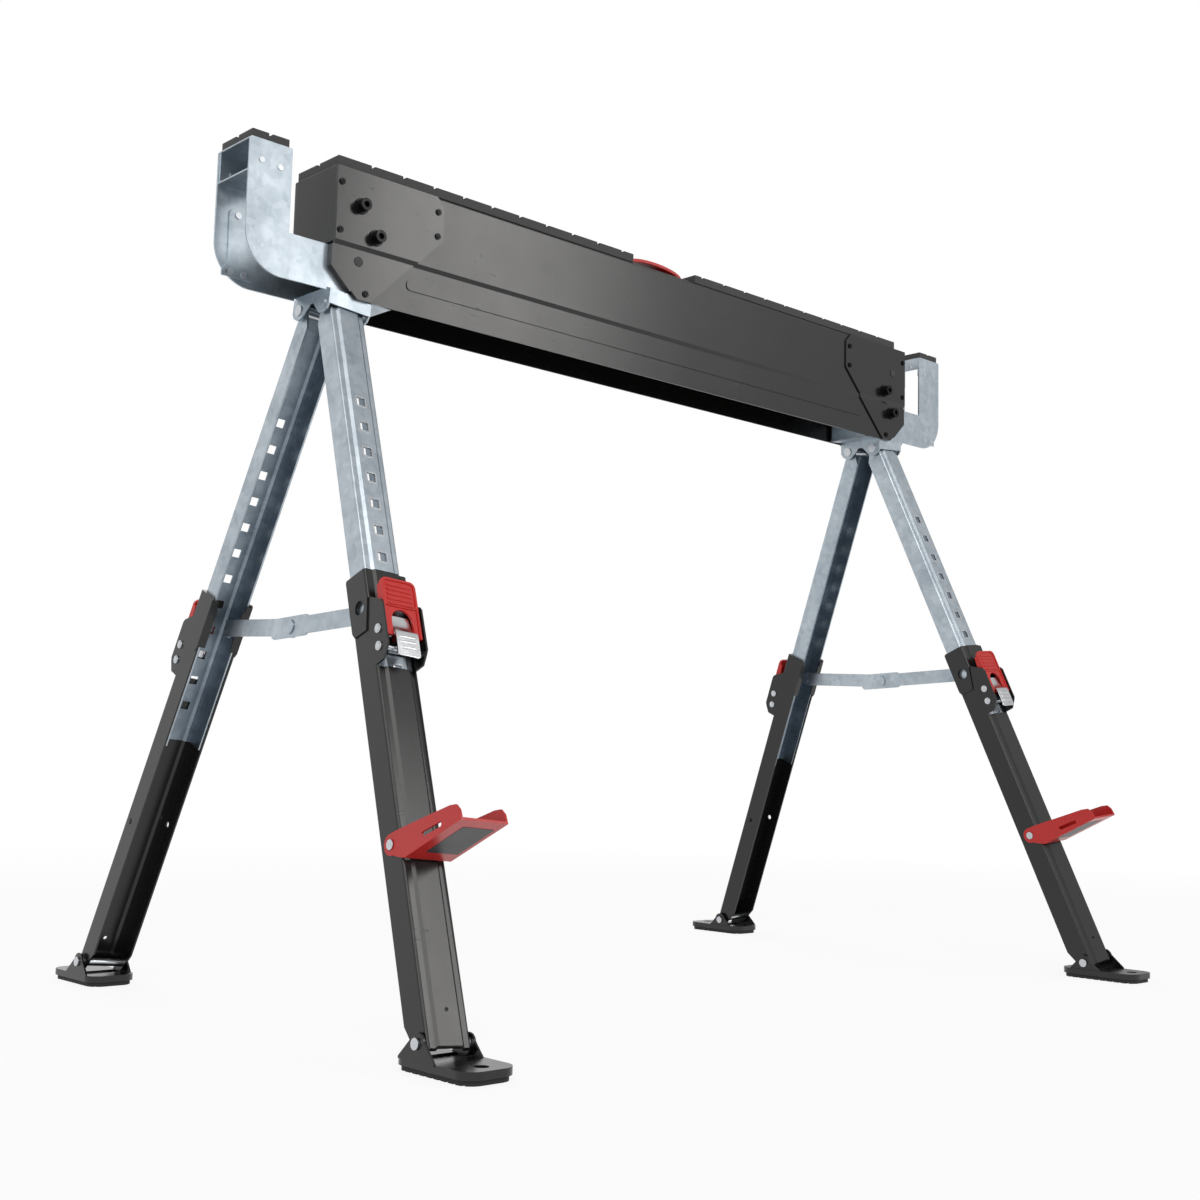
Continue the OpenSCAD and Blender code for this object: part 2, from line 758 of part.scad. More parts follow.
module channel_section(half, panel, open, wall, grow) {
    strip = panel - panel_rise;
    inside = half - wall;
    // The panel grows with each sheet laid over the last
    flat = panel_half + grow;
    outer_pts = concat(
        [[flat, -panel], [flat + panel_step, -strip]],
        arc(half - leg_edge, -strip + leg_edge, leg_edge, -90, 0),
        [[half, open]]
    );
    inner_pts = [
        [inside, open], [inside, -strip + wall],
        [flat + panel_step - 0.6, -strip + wall], [flat - 0.6, -panel + wall]
    ];
    polygon(concat(outer_pts, inner_pts, flipped(inner_pts), flipped(outer_pts)));
}

module channel(half, panel, open, wall, grow, s0, s1) {
    translate([0, 0, -s1]) linear_extrude(s1 - s0) channel_section(half, panel, open, wall, grow);
}

// Local side of the leg on which the spreader is pinned
function pin_side(end, row) = end * row > 0 ? -1 : 1;

module upper_leg(end, row) {
    color(zinc) at_leg(end, row) difference() {
        intersection() {
            channel(upper_half, upper_panel, upper_open, leg_sheet, 0, -10, upper_len);
            along_x(-upper_half - 1, upper_half + 1) {
                circle(9);
                polygon([ts(9, -5), ts(9, upper_len + 1), ts(-upper_open - 1, upper_len + 1),
                    ts(-upper_open - 1, 14), ts(-9, 0), ts(0, -5)]);
            }
        }
        pin_x(0, 0, -30, 30, pin_r + pin_play);
        for (k = [0 : hole_count - 1]) translate([0, -upper_panel, -hole_first - k * hole_pitch]) {
            cube([hole_side, 10, hole_side], center = true);
            cube([hole_side + 3.2, 1.2, hole_side + 3.2], center = true);
        }
        flip_x(pin_side(end, row) < 0)
            pin_x(spread_t, -spread_s, 10, 30, pin_r + pin_play);
    }
}

foot_hole_s = leg_reach;
window_top = 329;
window_end = 392;

ear_top = 327;

module ear_outline() {
    polygon([ts(0, ear_top), ts(10.8, ear_top), ts(24, 335.5), ts(26, 339), ts(26, 378), ts(24, 381.5),
        ts(17.5, 390), ts(9, 390.5), ts(0, 390.5)]);
}

module lower_leg(end, row) {
    color(black) at_leg(end, row) difference() {
        union() {
            intersection() {
                channel(lower_half, lower_panel, lower_open, leg_sheet, 0.9, lower_top, leg_reach + 10);
                along_x(-lower_half - 1, lower_half + 1) {
                    translate(ts(0, foot_hole_s)) circle(9.4);
                    polygon([ts(11, lower_top), ts(11, leg_reach + 4), ts(-8.5, leg_reach + 4),
                        ts(-lower_open - 1, leg_reach - 20), ts(-lower_open - 1, lower_top)]);
                }
            }
            for (m = [0, 1]) mirror([m, 0, 0]) along_x(lower_in, lower_half) ear_outline();
        }
        block(-lower_in, lower_in, -40, -4.9, -window_end, -window_top);
        pin_x(0, -foot_hole_s, -40, 40, pin_r + pin_play);
        pin_x(-lever_t, -lever_s, -40, 40, rivet_r);
        pin_x(-thumb_t, -thumb_s, -40, 40, rivet_r);
        pin_x(shelf_t, -shelf_s, -40, 40, 3);
        flip_x(pin_side(end, row) < 0) pin_x(spread_t, -spread_s, 10, 40, 5.5);
        pin_y(0, -leg_reach + 24, -20, 0, 2);
    }
}

collar_sheet = 1.5;

module leg_collar(end, row) {
    half = lower_half + collar_sheet;
    color(black) at_leg(end, row) difference() {
        union() {
            intersection() {
                channel(half, lower_panel + collar_sheet, lower_open + collar_sheet, collar_sheet, 1.5,
                    lower_top, 355);
                along_x(-half - 1, half + 1) polygon([
                    ts(13, lower_top), ts(13, ear_top - seam), ts(lower_strip - seam, ear_top - seam),
                    ts(0.6, 355), ts(-lower_open + 1, 355),
                    ts(-lower_open - collar_sheet, 350), ts(-lower_open - collar_sheet, lower_top + 2),
                    ts(-lower_open, lower_top)
                ]);
            }
            for (m = [0, 1]) mirror([m, 0, 0]) difference() {
                block(14, lower_half, lower_open, lower_open + collar_sheet, -350, -lower_top - 2);
                block(13, 16.5, lower_open - 1, lower_open + 3, -lower_top - 9, -lower_top);
            }
        }
        flip_x(pin_side(end, row) < 0) pin_x(spread_t, -spread_s, 10, 40, 6.5);
        block(-lower_in, lower_in, -30, -6, -340, -window_top + 2);
    }
}

// Rivets, lever pins and the foot bolt of one leg
module leg_pins(end, row) {
    color(steel) at_leg(end, row) {
        for (p = [[lever_t, lever_s], [thumb_t, thumb_s]]) {
            pin_x(-p[0], -p[1], -lower_half, lower_half, rivet_r);
            for (m = [0, 1]) mirror([m, 0, 0]) {
                pin_x(-p[0], -p[1], lower_half - 0.01, lower_half + 1.5, 4.2);
                pin_x(-p[0], -p[1], lower_half + 1.5, lower_half + 2.1, 2.9);
            }
        }
        pin_x(0, -foot_hole_s, -foot_half - 1.6, foot_half + 1.6, pin_r);
        for (m = [0, 1]) mirror([m, 0, 0]) {
            pin_x(0, -foot_hole_s, foot_half + seam, foot_half + 3, 6.4);
            pin_x(0, -foot_hole_s, lower_half, foot_half - arm_sheet - seam, 6);
        }
        if (row < 0) for (m = [0, 1]) mirror([m, 0, 0]) {
            pin_x(shelf_t, -shelf_s, lower_in, lower_half + 3.9, 3);
            pin_x(shelf_t, -shelf_s, lower_half + seam + shelf_sheet + seam, lower_half + 3.9, 5.2);
        }
    }
}

// Latch: the red lock lever over the thumb lever

module lock_lever(end, row) {
    face_in = lever_face - 2.4;
    wall_in = lever_half - 2.4;
    color(red) at_leg(end, row) difference() {
        union() {
            along_y(-lever_face, -face_in) round_rect(-lever_half, lever_half, -lever_end, -lever_top, 6);
            along_y(-lever_face, -face_in) translate([-lever_half, -lever_end]) square([2 * lever_half, 20]);
            for (m = [0, 1]) mirror([m, 0, 0]) along_x(wall_in, lever_half)
                polygon([ts(face_in, lever_top + 6), ts(face_in, lever_end), ts(lever_t - 5, lever_end),
                    ts(lever_t - 5, lever_s - 4), ts(lever_t, 334), ts(18, lever_top + 6)]);
            // Raised border and grip ribs
            along_y(-lever_face - 1, -lever_face) difference() {
                round_rect(-lever_half, lever_half, -340, -lever_top, 6);
                round_rect(-lever_half + 2.2, lever_half - 2.2, -339, -lever_top - 2.2, 4.5);
            }
            for (m = [0, 1]) mirror([m, 0, 0])
                block(lever_half - 2.2, lever_half, -lever_face - 1, -lever_face, -lever_end, -334);
            for (k = [0 : 4]) translate([0, -lever_face, -lever_top - 6.5 - 4.6 * k]) rotate([0, 90, 0])
                translate([0, 0, -13]) cylinder(h = 26, r = 1.1);
        }
        along_y(-lever_face - 3, -face_in + 3) {
            translate([0, -342 - arch_half]) circle(arch_half);
            translate([-arch_half, -lever_end - 2]) square([2 * arch_half, lever_end - 340 - arch_half]);
        }
        pin_x(-lever_t, -lever_s, -40, 40, rivet_r + pin_play);
    }
}

module thumb_lever(end, row) {
    tongue_t = 9.4;
    tongue_top = thumb_s - 9.8;
    tongue_end = thumb_s + 2.7;
    // The hole that the tooth meets with the legs fully out
    tooth_s = hole_first + 8 * hole_pitch;
    neck_in = lever_t + rivet_r + 0.5;
    neck_out = neck_in + 1.8;
    color(zinc) at_leg(end, row) difference() {
        union() {
            // Paddle with three pressed ribs
            along_y(-24.6, -22.8) round_rect(-thumb_half, thumb_half, -thumb_end, -lever_end - 0.8, 3);
            for (s = [373.5, 378, 382.5]) pin_x(-24.6, -s, -7.5, 7.5, 0.8);
            // Neck inside the archway, deeper than the paddle
            along_y(-neck_out, -neck_in) union() {
                translate([0, -357]) circle(10.2);
                translate([-10.2, -thumb_end + 9]) square([20.4, thumb_end - 366]);
            }
            along_y(-24.6, -neck_in) translate([-10.2, -thumb_end + 9]) square([20.4, 4]);
            // Cheeks down to the pin, behind the lock lever's own pin
            for (m = [0, 1]) mirror([m, 0, 0]) along_x(8.4, 10.2)
                polygon([ts(neck_out, 366), ts(22.9, 369.4), ts(22.9, 380), ts(thumb_t - 1, 381),
                    ts(tongue_t, tongue_end), ts(tongue_t, tongue_top), ts(tongue_t + 2, tongue_top),
                    ts(18, 366)]);
            // Tongue with the tooth that drops into a lock hole
            block(-10.2, 10.2, -tongue_t - 1.8, -tongue_t, -tongue_end, -tongue_top);
            block(-3.6, 3.6, -tongue_t - 1.8, -tongue_t, -tongue_top - 0.5, -tooth_s + 3.5);
            block(-3.6, 3.6, -tongue_t, -upper_panel - 0.6, -tooth_s - 3.5, -tooth_s + 3.5);
        }
        pin_x(-thumb_t, -thumb_s, -40, 40, rivet_r + pin_play);
    }
}

// Spreader: pinned tab, joggle and strap, the two straps pinned at the middle

module spreader(end, row) {
    tab_in = 14.9;
    tab_out = tab_in + strap_thick;
    gap = 0.2;
    plane_out = gap + strap_thick;
    wide_from = link_len - 31;
    color(zinc) at_saddle(end) flip_y(row > 0) flip_x(end * row < 0)
        translate([0, -spread_y, spread_z]) rotate([-link_drop, 0, 0]) {
            difference() {
                intersection() {
                    translate([0, 0, -30]) linear_extrude(60) polygon([
                        [-tab_out, -9], [-tab_in, -9], [-tab_in, 6.8], [-gap, 15], [-gap, link_len + 40],
                        [-plane_out, link_len + 40], [-plane_out, 16], [-tab_out, 7.8]
                    ]);
                    along_x(-tab_out - 1, 0) {
                        circle(strap_high / 2);
                        translate([0, -strap_high / 2]) square([link_len, strap_high]);
                        if (row < 0) translate([wide_from, -centre_high / 2])
                            round_rect(0, 31 + 33, 0, centre_high, 6);
                        else translate([link_len, 0]) circle(centre_high / 2);
                    }
                }
                pin_x(0, 0, -40, 5, pin_r + rivet_seat);
                pin_x(link_len, 0, -40, 5, pin_r + rivet_seat);
            }
            // Pin with its button head inside the leg
            pin_x(0, 0, -upper_half, -tab_in + rivet_seat, pin_r);
            pin_x(0, 0, -tab_in + rivet_seat, -tab_in + 2.5, 5.6);
            // This strap's half of the centre rivet
            pin_x(link_len, 0, -plane_out - rivet_seat, -gap, pin_r);
            pin_x(link_len, 0, -plane_out - 1.8, -plane_out - rivet_seat, 7);
        }
}

// Feet

foot_hollow = 2;

module foot_outline(back_by) {
    r = 16 - back_by;
    round_rect(-foot_half + back_by, foot_half - back_by, -foot_out + back_by, foot_in - back_by, r);
}

module foot_plate(end, row) {
    drop = foot_rise - foot_top;
    color(black) at_foot(end, row) difference() {
        union() {
            translate([0, 0, -foot_rise + sole_thick]) linear_extrude(foot_top - sole_thick) foot_outline(0);
            rotate([0, lean, 0]) for (m = [0, 1]) mirror([m, 0, 0])
                along_x(foot_half - arm_sheet, foot_half) {
                    circle(9);
                    polygon([[-8.6, 2.6], [8.6, 2.6], [22, -drop - 1.5], [22, -drop - 3.4],
                        [-24, -drop - 3.4], [-24, -drop - 1.5]]);
                }
        }
        rotate([0, lean, 0]) pin_x(0, 0, -40, 40, pin_r + pin_play);
        translate([0, -foot_out + 16, -foot_rise]) cylinder(h = 20, r = 3);
        translate([0, -foot_out + 16, -foot_rise + foot_top - 2]) cylinder(h = 5, r = 6);
        // Hollow under the leg's end
        translate([0, 0, -foot_rise + foot_top - foot_hollow]) linear_extrude(4)
            square([2 * lower_half + 1.6, 24], center = true);
    }
}

module foot_sole(end, row) {
    color(pad_grey) at_foot(end, row) difference() {
        translate([0, 0, -foot_rise]) linear_extrude(sole_thick) foot_outline(2.5);
        for (y = [-foot_out + 10 : 9 : foot_in - 6]) translate([0, y, -foot_rise])
            cube([2 * foot_half + 2, 2.4, 2.4], center = true);
        translate([0, -foot_out + 16, -foot_rise - 1]) cylinder(h = 20, r = 3);
    }
}

// Red board supports on the front legs

module board_support(end) {
    arm_in = lower_half + seam;
    arm_outer = arm_in + shelf_sheet;
    color(red) at_leg(end, front) difference() {
        union() {
            for (m = [0, 1]) mirror([m, 0, 0]) along_x(arm_in, arm_outer) difference() {
                union() {
                    translate(ts(-shelf_t, shelf_s)) circle(9);
                    polygon([ts(-shelf_t, shelf_s - 9), ts(9, 541), ts(77, 545.7), ts(84.5, 547.5),
                        ts(88, 553), ts(shelf_reach, 559.5), ts(shelf_reach, 561.5), ts(12.2, 566.3),
                        ts(5, 563), ts(-shelf_t, shelf_s + 9)]);
                }
                translate(ts(51, 556)) round_rect(-13, 13, -2, 2, 1.9);
            }
            along_x(-arm_in, arm_in)
                polygon([ts(12.4, 564.4), ts(shelf_reach, 559.5), ts(shelf_reach, 561.5), ts(12.4, 566.3)]);
        }
        pin_x(shelf_t, -shelf_s, -40, 40, 3 + pin_play);
    }
}

beam_channel();
end_plates(left);  // end_plates_left
end_plates(right);  // end_plates_right
end_caps();
top_pad_left();
top_pad_right();
beam_screws();
end_bolts();
hole_plugs();
carry_handle();
end_arm(left);  // end_arm_left
arm_tray(left);  // arm_tray_left
arm_pad(left);  // arm_pad_left
arm_strap(left);  // arm_strap_left
leg_saddle(left);  // leg_saddle_left
end_rivets(left);  // end_rivets_left
end_arm(right);  // end_arm_right
arm_tray(right);  // arm_tray_right
arm_pad(right);  // arm_pad_right
arm_strap(right);  // arm_strap_right
leg_saddle(right);  // leg_saddle_right
end_rivets(right);  // end_rivets_right
spreader(left, front);  // spreader_left_front
spreader(left, back);  // spreader_left_back
spreader(right, front);  // spreader_right_front
spreader(right, back);  // spreader_right_back
upper_leg(left, front);  // upper_leg_left_front
upper_leg(left, back);  // upper_leg_left_back
upper_leg(right, front);  // upper_leg_right_front
upper_leg(right, back);  // upper_leg_right_back
lower_leg(left, front);  // lower_leg_left_front
lower_leg(left, back);  // lower_leg_left_back
lower_leg(right, front);  // lower_leg_right_front
lower_leg(right, back);  // lower_leg_right_back
leg_collar(left, front);  // leg_collar_left_front
leg_collar(left, back);  // leg_collar_left_back
leg_collar(right, front);  // leg_collar_right_front
leg_collar(right, back);  // leg_collar_right_back
leg_pins(left, front);  // leg_pins_left_front
leg_pins(left, back);  // leg_pins_left_back
leg_pins(right, front);  // leg_pins_right_front
leg_pins(right, back);  // leg_pins_right_back
lock_lever(left, front);  // lock_lever_left_front
lock_lever(left, back);  // lock_lever_left_back
lock_lever(right, front);  // lock_lever_right_front
lock_lever(right, back);  // lock_lever_right_back
thumb_lever(left, front);  // thumb_lever_left_front
thumb_lever(left, back);  // thumb_lever_left_back
thumb_lever(right, front);  // thumb_lever_right_front
thumb_lever(right, back);  // thumb_lever_right_back
foot_plate(left, front);  // foot_plate_left_front
foot_plate(left, back);  // foot_plate_left_back
foot_plate(right, front);  // foot_plate_right_front
foot_plate(right, back);  // foot_plate_right_back
foot_sole(left, front);  // foot_sole_left_front
foot_sole(left, back);  // foot_sole_left_back
foot_sole(right, front);  // foot_sole_right_front
foot_sole(right, back);  // foot_sole_right_back
board_support(left);  // board_support_left
board_support(right);  // board_support_right
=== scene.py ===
import bpy
import json
import math
from mathutils import Matrix, Vector

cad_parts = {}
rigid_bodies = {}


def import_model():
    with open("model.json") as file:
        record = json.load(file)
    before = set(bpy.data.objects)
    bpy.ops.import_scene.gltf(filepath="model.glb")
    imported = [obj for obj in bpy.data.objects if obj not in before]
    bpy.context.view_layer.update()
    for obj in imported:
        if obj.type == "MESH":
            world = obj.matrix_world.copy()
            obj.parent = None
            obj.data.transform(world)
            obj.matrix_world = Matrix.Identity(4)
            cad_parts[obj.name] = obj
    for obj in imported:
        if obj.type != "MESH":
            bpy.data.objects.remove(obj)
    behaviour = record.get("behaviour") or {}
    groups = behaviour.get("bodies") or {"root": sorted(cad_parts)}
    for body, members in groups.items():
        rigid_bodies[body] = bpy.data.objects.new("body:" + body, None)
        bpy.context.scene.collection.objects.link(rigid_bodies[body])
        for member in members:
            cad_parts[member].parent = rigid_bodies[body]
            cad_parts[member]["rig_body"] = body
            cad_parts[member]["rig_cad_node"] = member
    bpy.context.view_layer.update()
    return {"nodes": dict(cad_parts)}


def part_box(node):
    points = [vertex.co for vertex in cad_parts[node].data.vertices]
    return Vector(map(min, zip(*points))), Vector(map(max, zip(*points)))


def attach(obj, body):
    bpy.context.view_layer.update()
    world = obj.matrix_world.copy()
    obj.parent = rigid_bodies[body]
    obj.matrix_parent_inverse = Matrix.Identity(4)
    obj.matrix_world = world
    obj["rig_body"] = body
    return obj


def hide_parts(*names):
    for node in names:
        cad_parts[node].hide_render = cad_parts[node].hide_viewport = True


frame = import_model()
nodes = frame["nodes"]

ends = ("left", "right")
rows = ("front", "back")
legs = [(end, row) for end in ends for row in rows]

mm = 0.001
# Two places closer than this are the same place
hair = 0.00001
# A face looks along an axis when its normal reaches this far that way
facing = 0.9


# Shader wires
class Wire:
    # A socket that can be added, multiplied and divided in plain expressions.
    # Without a socket it only starts the other wires of its tree
    def __init__(self, tree, socket):
        self.tree = tree
        self.socket = socket

    def plug(self, target, value):
        if isinstance(value, Wire):
            self.tree.links.new(value.socket, target)
        else:
            target.default_value = value

    def node(self, kind, settings, sockets, out=0):
        made = self.tree.nodes.new(kind)
        for name, value in settings.items():
            setattr(made, name, value)
        for name, value in sockets.items():
            self.plug(made.inputs[name], value)
        return Wire(self.tree, made.outputs[out])

    def maths(self, operation, first, second):
        return self.node("ShaderNodeMath", {"operation": operation}, {0: first, 1: second})

    def __add__(self, other): return self.maths("ADD", self, other)
    def __radd__(self, other): return self.maths("ADD", other, self)
    def __sub__(self, other): return self.maths("SUBTRACT", self, other)
    def __rsub__(self, other): return self.maths("SUBTRACT", other, self)
    def __mul__(self, other): return self.maths("MULTIPLY", self, other)
    def __rmul__(self, other): return self.maths("MULTIPLY", other, self)
    def __truediv__(self, other): return self.maths("DIVIDE", self, other)
    def __rtruediv__(self, other): return self.maths("DIVIDE", other, self)

    def clamped(self):
        made = self.maths("ADD", self, 0.0)
        made.socket.node.use_clamp = True
        return made

    def blend(self, low, high):
        # Colours from low to high as this wire goes from 0 to 1
        return self.node("ShaderNodeMix", {"data_type": "RGBA"}, {0: self, 6: low, 7: high}, 2)


def newFinish(name):
    material = bpy.data.materials.new(name)
    material.use_nodes = True
    tree = material.node_tree
    place = Wire(tree, None).node("ShaderNodeTexCoord", {}, {}, "Object")
    return material, tree.nodes["Principled BSDF"], place


def noise(place, scale, detail, rough, stretch=None):
    if stretch:
        place = place.node("ShaderNodeMapping", {}, {"Vector": place, "Scale": stretch})
    return place.node("ShaderNodeTexNoise", {}, {
        "Vector": place, "Scale": scale, "Detail": detail, "Roughness": rough})


def setBump(shader, height, strength, distance):
    bump = height.node("ShaderNodeBump", {}, {"Height": height, "Strength": strength, "Distance": distance})
    bump.plug(shader.inputs["Normal"], bump)


# In the looks below a noise is (scale, detail, roughness, stretch), "relief" the strength of the bump

# Sheet steel coated in black powder: fine orange peel, a few dusty scuffs
powderCoat = {
    "colour": (0.0065, 0.0063, 0.0062, 1),
    "scuff": (0.022, 0.022, 0.0225, 1),
    "roughness": 0.19, "cloudRough": 0.10, "scuffRough": 0.2,
    "peel": (900, 2, 0.5), "peelDepth": 0.00003,
    "wave": (7, 1, 0.4), "waveDepth": 0.0012,
    "cloud": (14, 4, 0.6),
    "scratch": (220, 3, 0.6, (0.25, 1.0, 1.0)), "scratchFrom": 0.66, "scratchRise": 9,
    "relief": 0.6,
}
# The end plates: smoother paint over wavier sheet
plateCoat = dict(powderCoat, roughness=0.15, waveDepth=0.0018)
# Red paint on the board supports
redPaint = dict(powderCoat, colour=(0.50, 0.014, 0.012, 1), scuff=(0.30, 0.012, 0.012, 1),
                roughness=0.26, peel=(850, 2, 0.5), waveDepth=0.0006)


def makePowderCoat(name, look):
    material, shader, place = newFinish(name)
    peel, cloud, scratch, wave = (noise(place, *look[key]) for key in ("peel", "cloud", "scratch", "wave"))
    worn = ((scratch - look["scratchFrom"]) * look["scratchRise"]).clamped() * cloud
    roughness = look["roughness"] + cloud * look["cloudRough"] + worn * look["scuffRough"]
    worn.plug(shader.inputs["Base Color"], worn.blend(look["colour"], look["scuff"]))
    worn.plug(shader.inputs["Roughness"], roughness)
    setBump(shader, peel * look["peelDepth"] + wave * look["waveDepth"], look["relief"], 1.0)
    return material


# Galvanised sheet: cold grey with soft spangle, brighter and darker clouds
galvanised = {
    "bright": (0.60, 0.66, 0.705, 1),
    "dull": (0.32, 0.37, 0.415, 1),
    "stain": (0.58, 0.60, 0.61, 1),
    "roughness": 0.25, "dullRough": 0.18, "grainRough": 0.07,
    "spangleScale": 150, "grainShare": 0.28,
    "warp": (60, 2, 0.5), "warpShare": 0.3,
    "cloud": (22, 5, 0.62), "cloudShare": 1.15, "cloudFrom": 0.22,
    "speck": (520, 2, 0.5), "speckFrom": 0.68, "speckRise": 7, "speckDepth": 0.5,
    "relief": 0.12, "depth": 0.00005,
}
# The same sheet, darker inside the open upper legs: painted shade where little light comes in
shadedInsideSheet = dict(galvanised, bright=(0.36, 0.42, 0.475, 1), dull=(0.17, 0.205, 0.245, 1),
                   stain=(0.38, 0.42, 0.46, 1))


def makeGalvanised(name, look):
    material, shader, place = newFinish(name)
    warp, cloud, speck = (noise(place, *look[key]) for key in ("warp", "cloud", "speck"))
    spangle = place.node("ShaderNodeTexVoronoi", {"feature": "F1"}, {
        "Vector": place, "Scale": look["spangleScale"], "Randomness": 1.0}, "Color")
    grain = spangle.node("ShaderNodeSeparateColor", {}, {"Color": spangle})
    tone = (cloud * look["cloudShare"] - look["cloudFrom"]
            + (grain - 0.5) * look["grainShare"] + (warp - 0.5) * look["warpShare"]).clamped()
    spot = ((speck - look["speckFrom"]) * look["speckRise"]).clamped()
    base = tone.blend(look["dull"], look["bright"])
    roughness = look["roughness"] + (1 - tone) * look["dullRough"] + grain * look["grainRough"]
    spot.plug(shader.inputs["Base Color"], spot.blend(base, look["stain"]))
    tone.plug(shader.inputs["Roughness"], roughness)
    shader.inputs["Metallic"].default_value = 1.0
    setBump(shader, grain + speck * look["speckDepth"], look["relief"], look["depth"])
    return material


# Zinc-plated rivets and pins: brighter and smoother
brightZinc = {
    "bright": (0.66, 0.68, 0.70, 1),
    "dull": (0.44, 0.47, 0.50, 1),
    "roughness": 0.22, "cloudRough": 0.16,
    "cloud": (90, 4, 0.6),
    "turned": (900, 2, 0.5),
    "relief": 0.15, "depth": 0.00004,
}
# Polished nickel-bright sheet of the thumb levers
leverZinc = dict(brightZinc, bright=(0.80, 0.81, 0.82, 1), dull=(0.50, 0.52, 0.54, 1), roughness=0.14)


def makeBrightZinc(name, look):
    material, shader, place = newFinish(name)
    cloud, turned = (noise(place, *look[key]) for key in ("cloud", "turned"))
    cloud.plug(shader.inputs["Base Color"], cloud.blend(look["dull"], look["bright"]))
    cloud.plug(shader.inputs["Roughness"], look["roughness"] + cloud * look["cloudRough"])
    shader.inputs["Metallic"].default_value = 1.0
    setBump(shader, turned, look["relief"], look["depth"])
    return material


# Blackened bolts and screws
blackOxide = {
    "colour": (0.012, 0.012, 0.013, 1),
    "rub": (0.09, 0.09, 0.092, 1),
    "roughness": 0.30, "rubRough": 0.12, "metal": 0.85,
    "cloud": (380, 3, 0.6), "rubFrom": 0.55, "rubRise": 3,
    "relief": 0.2, "depth": 0.00005,
}


def makeBlackOxide(name, look):
    material, shader, place = newFinish(name)
    cloud = noise(place, *look["cloud"])
    rub = ((cloud - look["rubFrom"]) * look["rubRise"]).clamped()
    rub.plug(shader.inputs["Base Color"], rub.blend(look["colour"], look["rub"]))
    rub.plug(shader.inputs["Roughness"], look["roughness"] + rub * look["rubRough"])
    shader.inputs["Metallic"].default_value = look["metal"]
    setBump(shader, cloud, look["relief"], look["depth"])
    return material


# Red moulded levers and handle: fine spark grain, slight flow marks
redPlastic = {
    "colour": (0.62, 0.022, 0.014, 1),
    "deep": (0.46, 0.012, 0.010, 1),
    "roughness": 0.34, "flowRough": 0.12, "grainRough": 0.1,
    "flow": (35, 3, 0.5, (1.0, 1.0, 0.4)),
    "grain": (1400, 2, 0.55),
    "relief": 0.4, "depth": 0.00004,
}
# Pads, then end caps and hole plugs, soles, and the bare film under the board supports
padPlastic = dict(redPlastic, colour=(0.036, 0.036, 0.038, 1), deep=(0.026, 0.026, 0.027, 1),
                  roughness=0.55, grain=(700, 2, 0.55), relief=0.5, depth=0.00008)
capPlastic = dict(redPlastic, colour=(0.030, 0.030, 0.031, 1), deep=(0.024, 0.024, 0.025, 1),
                  roughness=0.48, grain=(900, 2, 0.55), depth=0.00005)
soleRubber = dict(redPlastic, colour=(0.020, 0.020, 0.020, 1), deep=(0.012, 0.012, 0.012, 1),
                  roughness=0.72, grain=(500, 2, 0.55), relief=0.5, depth=0.0001)
labelFilm = dict(redPlastic, colour=(0.030, 0.031, 0.033, 1), deep=(0.024, 0.025, 0.027, 1),
                 roughness=0.36, grain=(600, 2, 0.55), relief=0.3, depth=0.00002)


def makeMoulded(name, look):
    material, shader, place = newFinish(name)
    grain, flow = (noise(place, *look[key]) for key in ("grain", "flow"))
    roughness = look["roughness"] + flow * look["flowRough"] + (grain - 0.5) * look["grainRough"]
    flow.plug(shader.inputs["Base Color"], flow.blend(look["deep"], look["colour"]))
    flow.plug(shader.inputs["Roughness"], roughness)
    setBump(shader, grain, look["relief"], look["depth"])
    return material


finishes = {
    "black": makePowderCoat("blackPowderCoat", powderCoat),
    "plate": makePowderCoat("plateCoat", plateCoat),
    "label": makeMoulded("labelFilm", labelFilm),
    "zinc": makeGalvanised("galvanisedSheet", galvanised),
    # Painted shade: the darker copy of the galvanised sheet for the insides of the upper legs
    "inside": makeGalvanised("galvanisedPaintedShade", shadedInsideSheet),
    "bright": makeBrightZinc("brightZinc", brightZinc),
    "lever": makeBrightZinc("leverZinc", leverZinc),
    "oxide": makeBlackOxide("blackOxide", blackOxide),
    "redPlastic": makeMoulded("redPlastic", redPlastic),
    "redPaint": makePowderCoat("redPaint", redPaint),
    "pad": makeMoulded("padPlastic", padPlastic),
    "cap": makeMoulded("capPlastic", capPlastic),
    "rubber": makeMoulded("soleRubber", soleRubber),
}
print("finishes made", len(finishes))

# Rounded copies of the construction's pieces

# How a node's name starts: finish, edge radius (metres), segments of the rounding.
# With 0 segments there is no copy, because the piece is made anew further down
dressing = {
    "beam_channel": ("black", 0.0005, 2),
    "end_plates": ("plate", 0.0013, 3),
    "end_caps": ("cap", 0.0004, 2),
    "top_pad": ("pad", 0, 0),
    "arm_pad": ("pad", 0, 0),
    "beam_screws": ("oxide", 0.0003, 2),
    "end_bolts": ("oxide", 0.0005, 2),
    "hole_plugs": ("cap", 0.0003, 2),
    "carry_handle": ("redPlastic", 0, 0),
    "end_arm": ("zinc", 0.0005, 2),
    "arm_tray": ("zinc", 0.0004, 2),
    "arm_strap": ("zinc", 0.0003, 2),
    "leg_saddle": ("zinc", 0.0005, 2),
    "end_rivets": ("bright", 0.0004, 2),
    "spreader": ("zinc", 0.0005, 2),
    "upper_leg": ("zinc", 0.0004, 2),
    "lower_leg": ("black", 0.0004, 2),
    "leg_collar": ("black", 0.0004, 2),
    "leg_pins": ("bright", 0.0005, 2),
    "lock_lever": ("redPlastic", 0.0007, 3),
    "thumb_lever": ("zinc", 0, 0),
    "foot_plate": ("black", 0.0008, 3),
    "foot_sole": ("rubber", 0.0005, 2),
    "board_support": ("redPaint", 0.0005, 2),
}

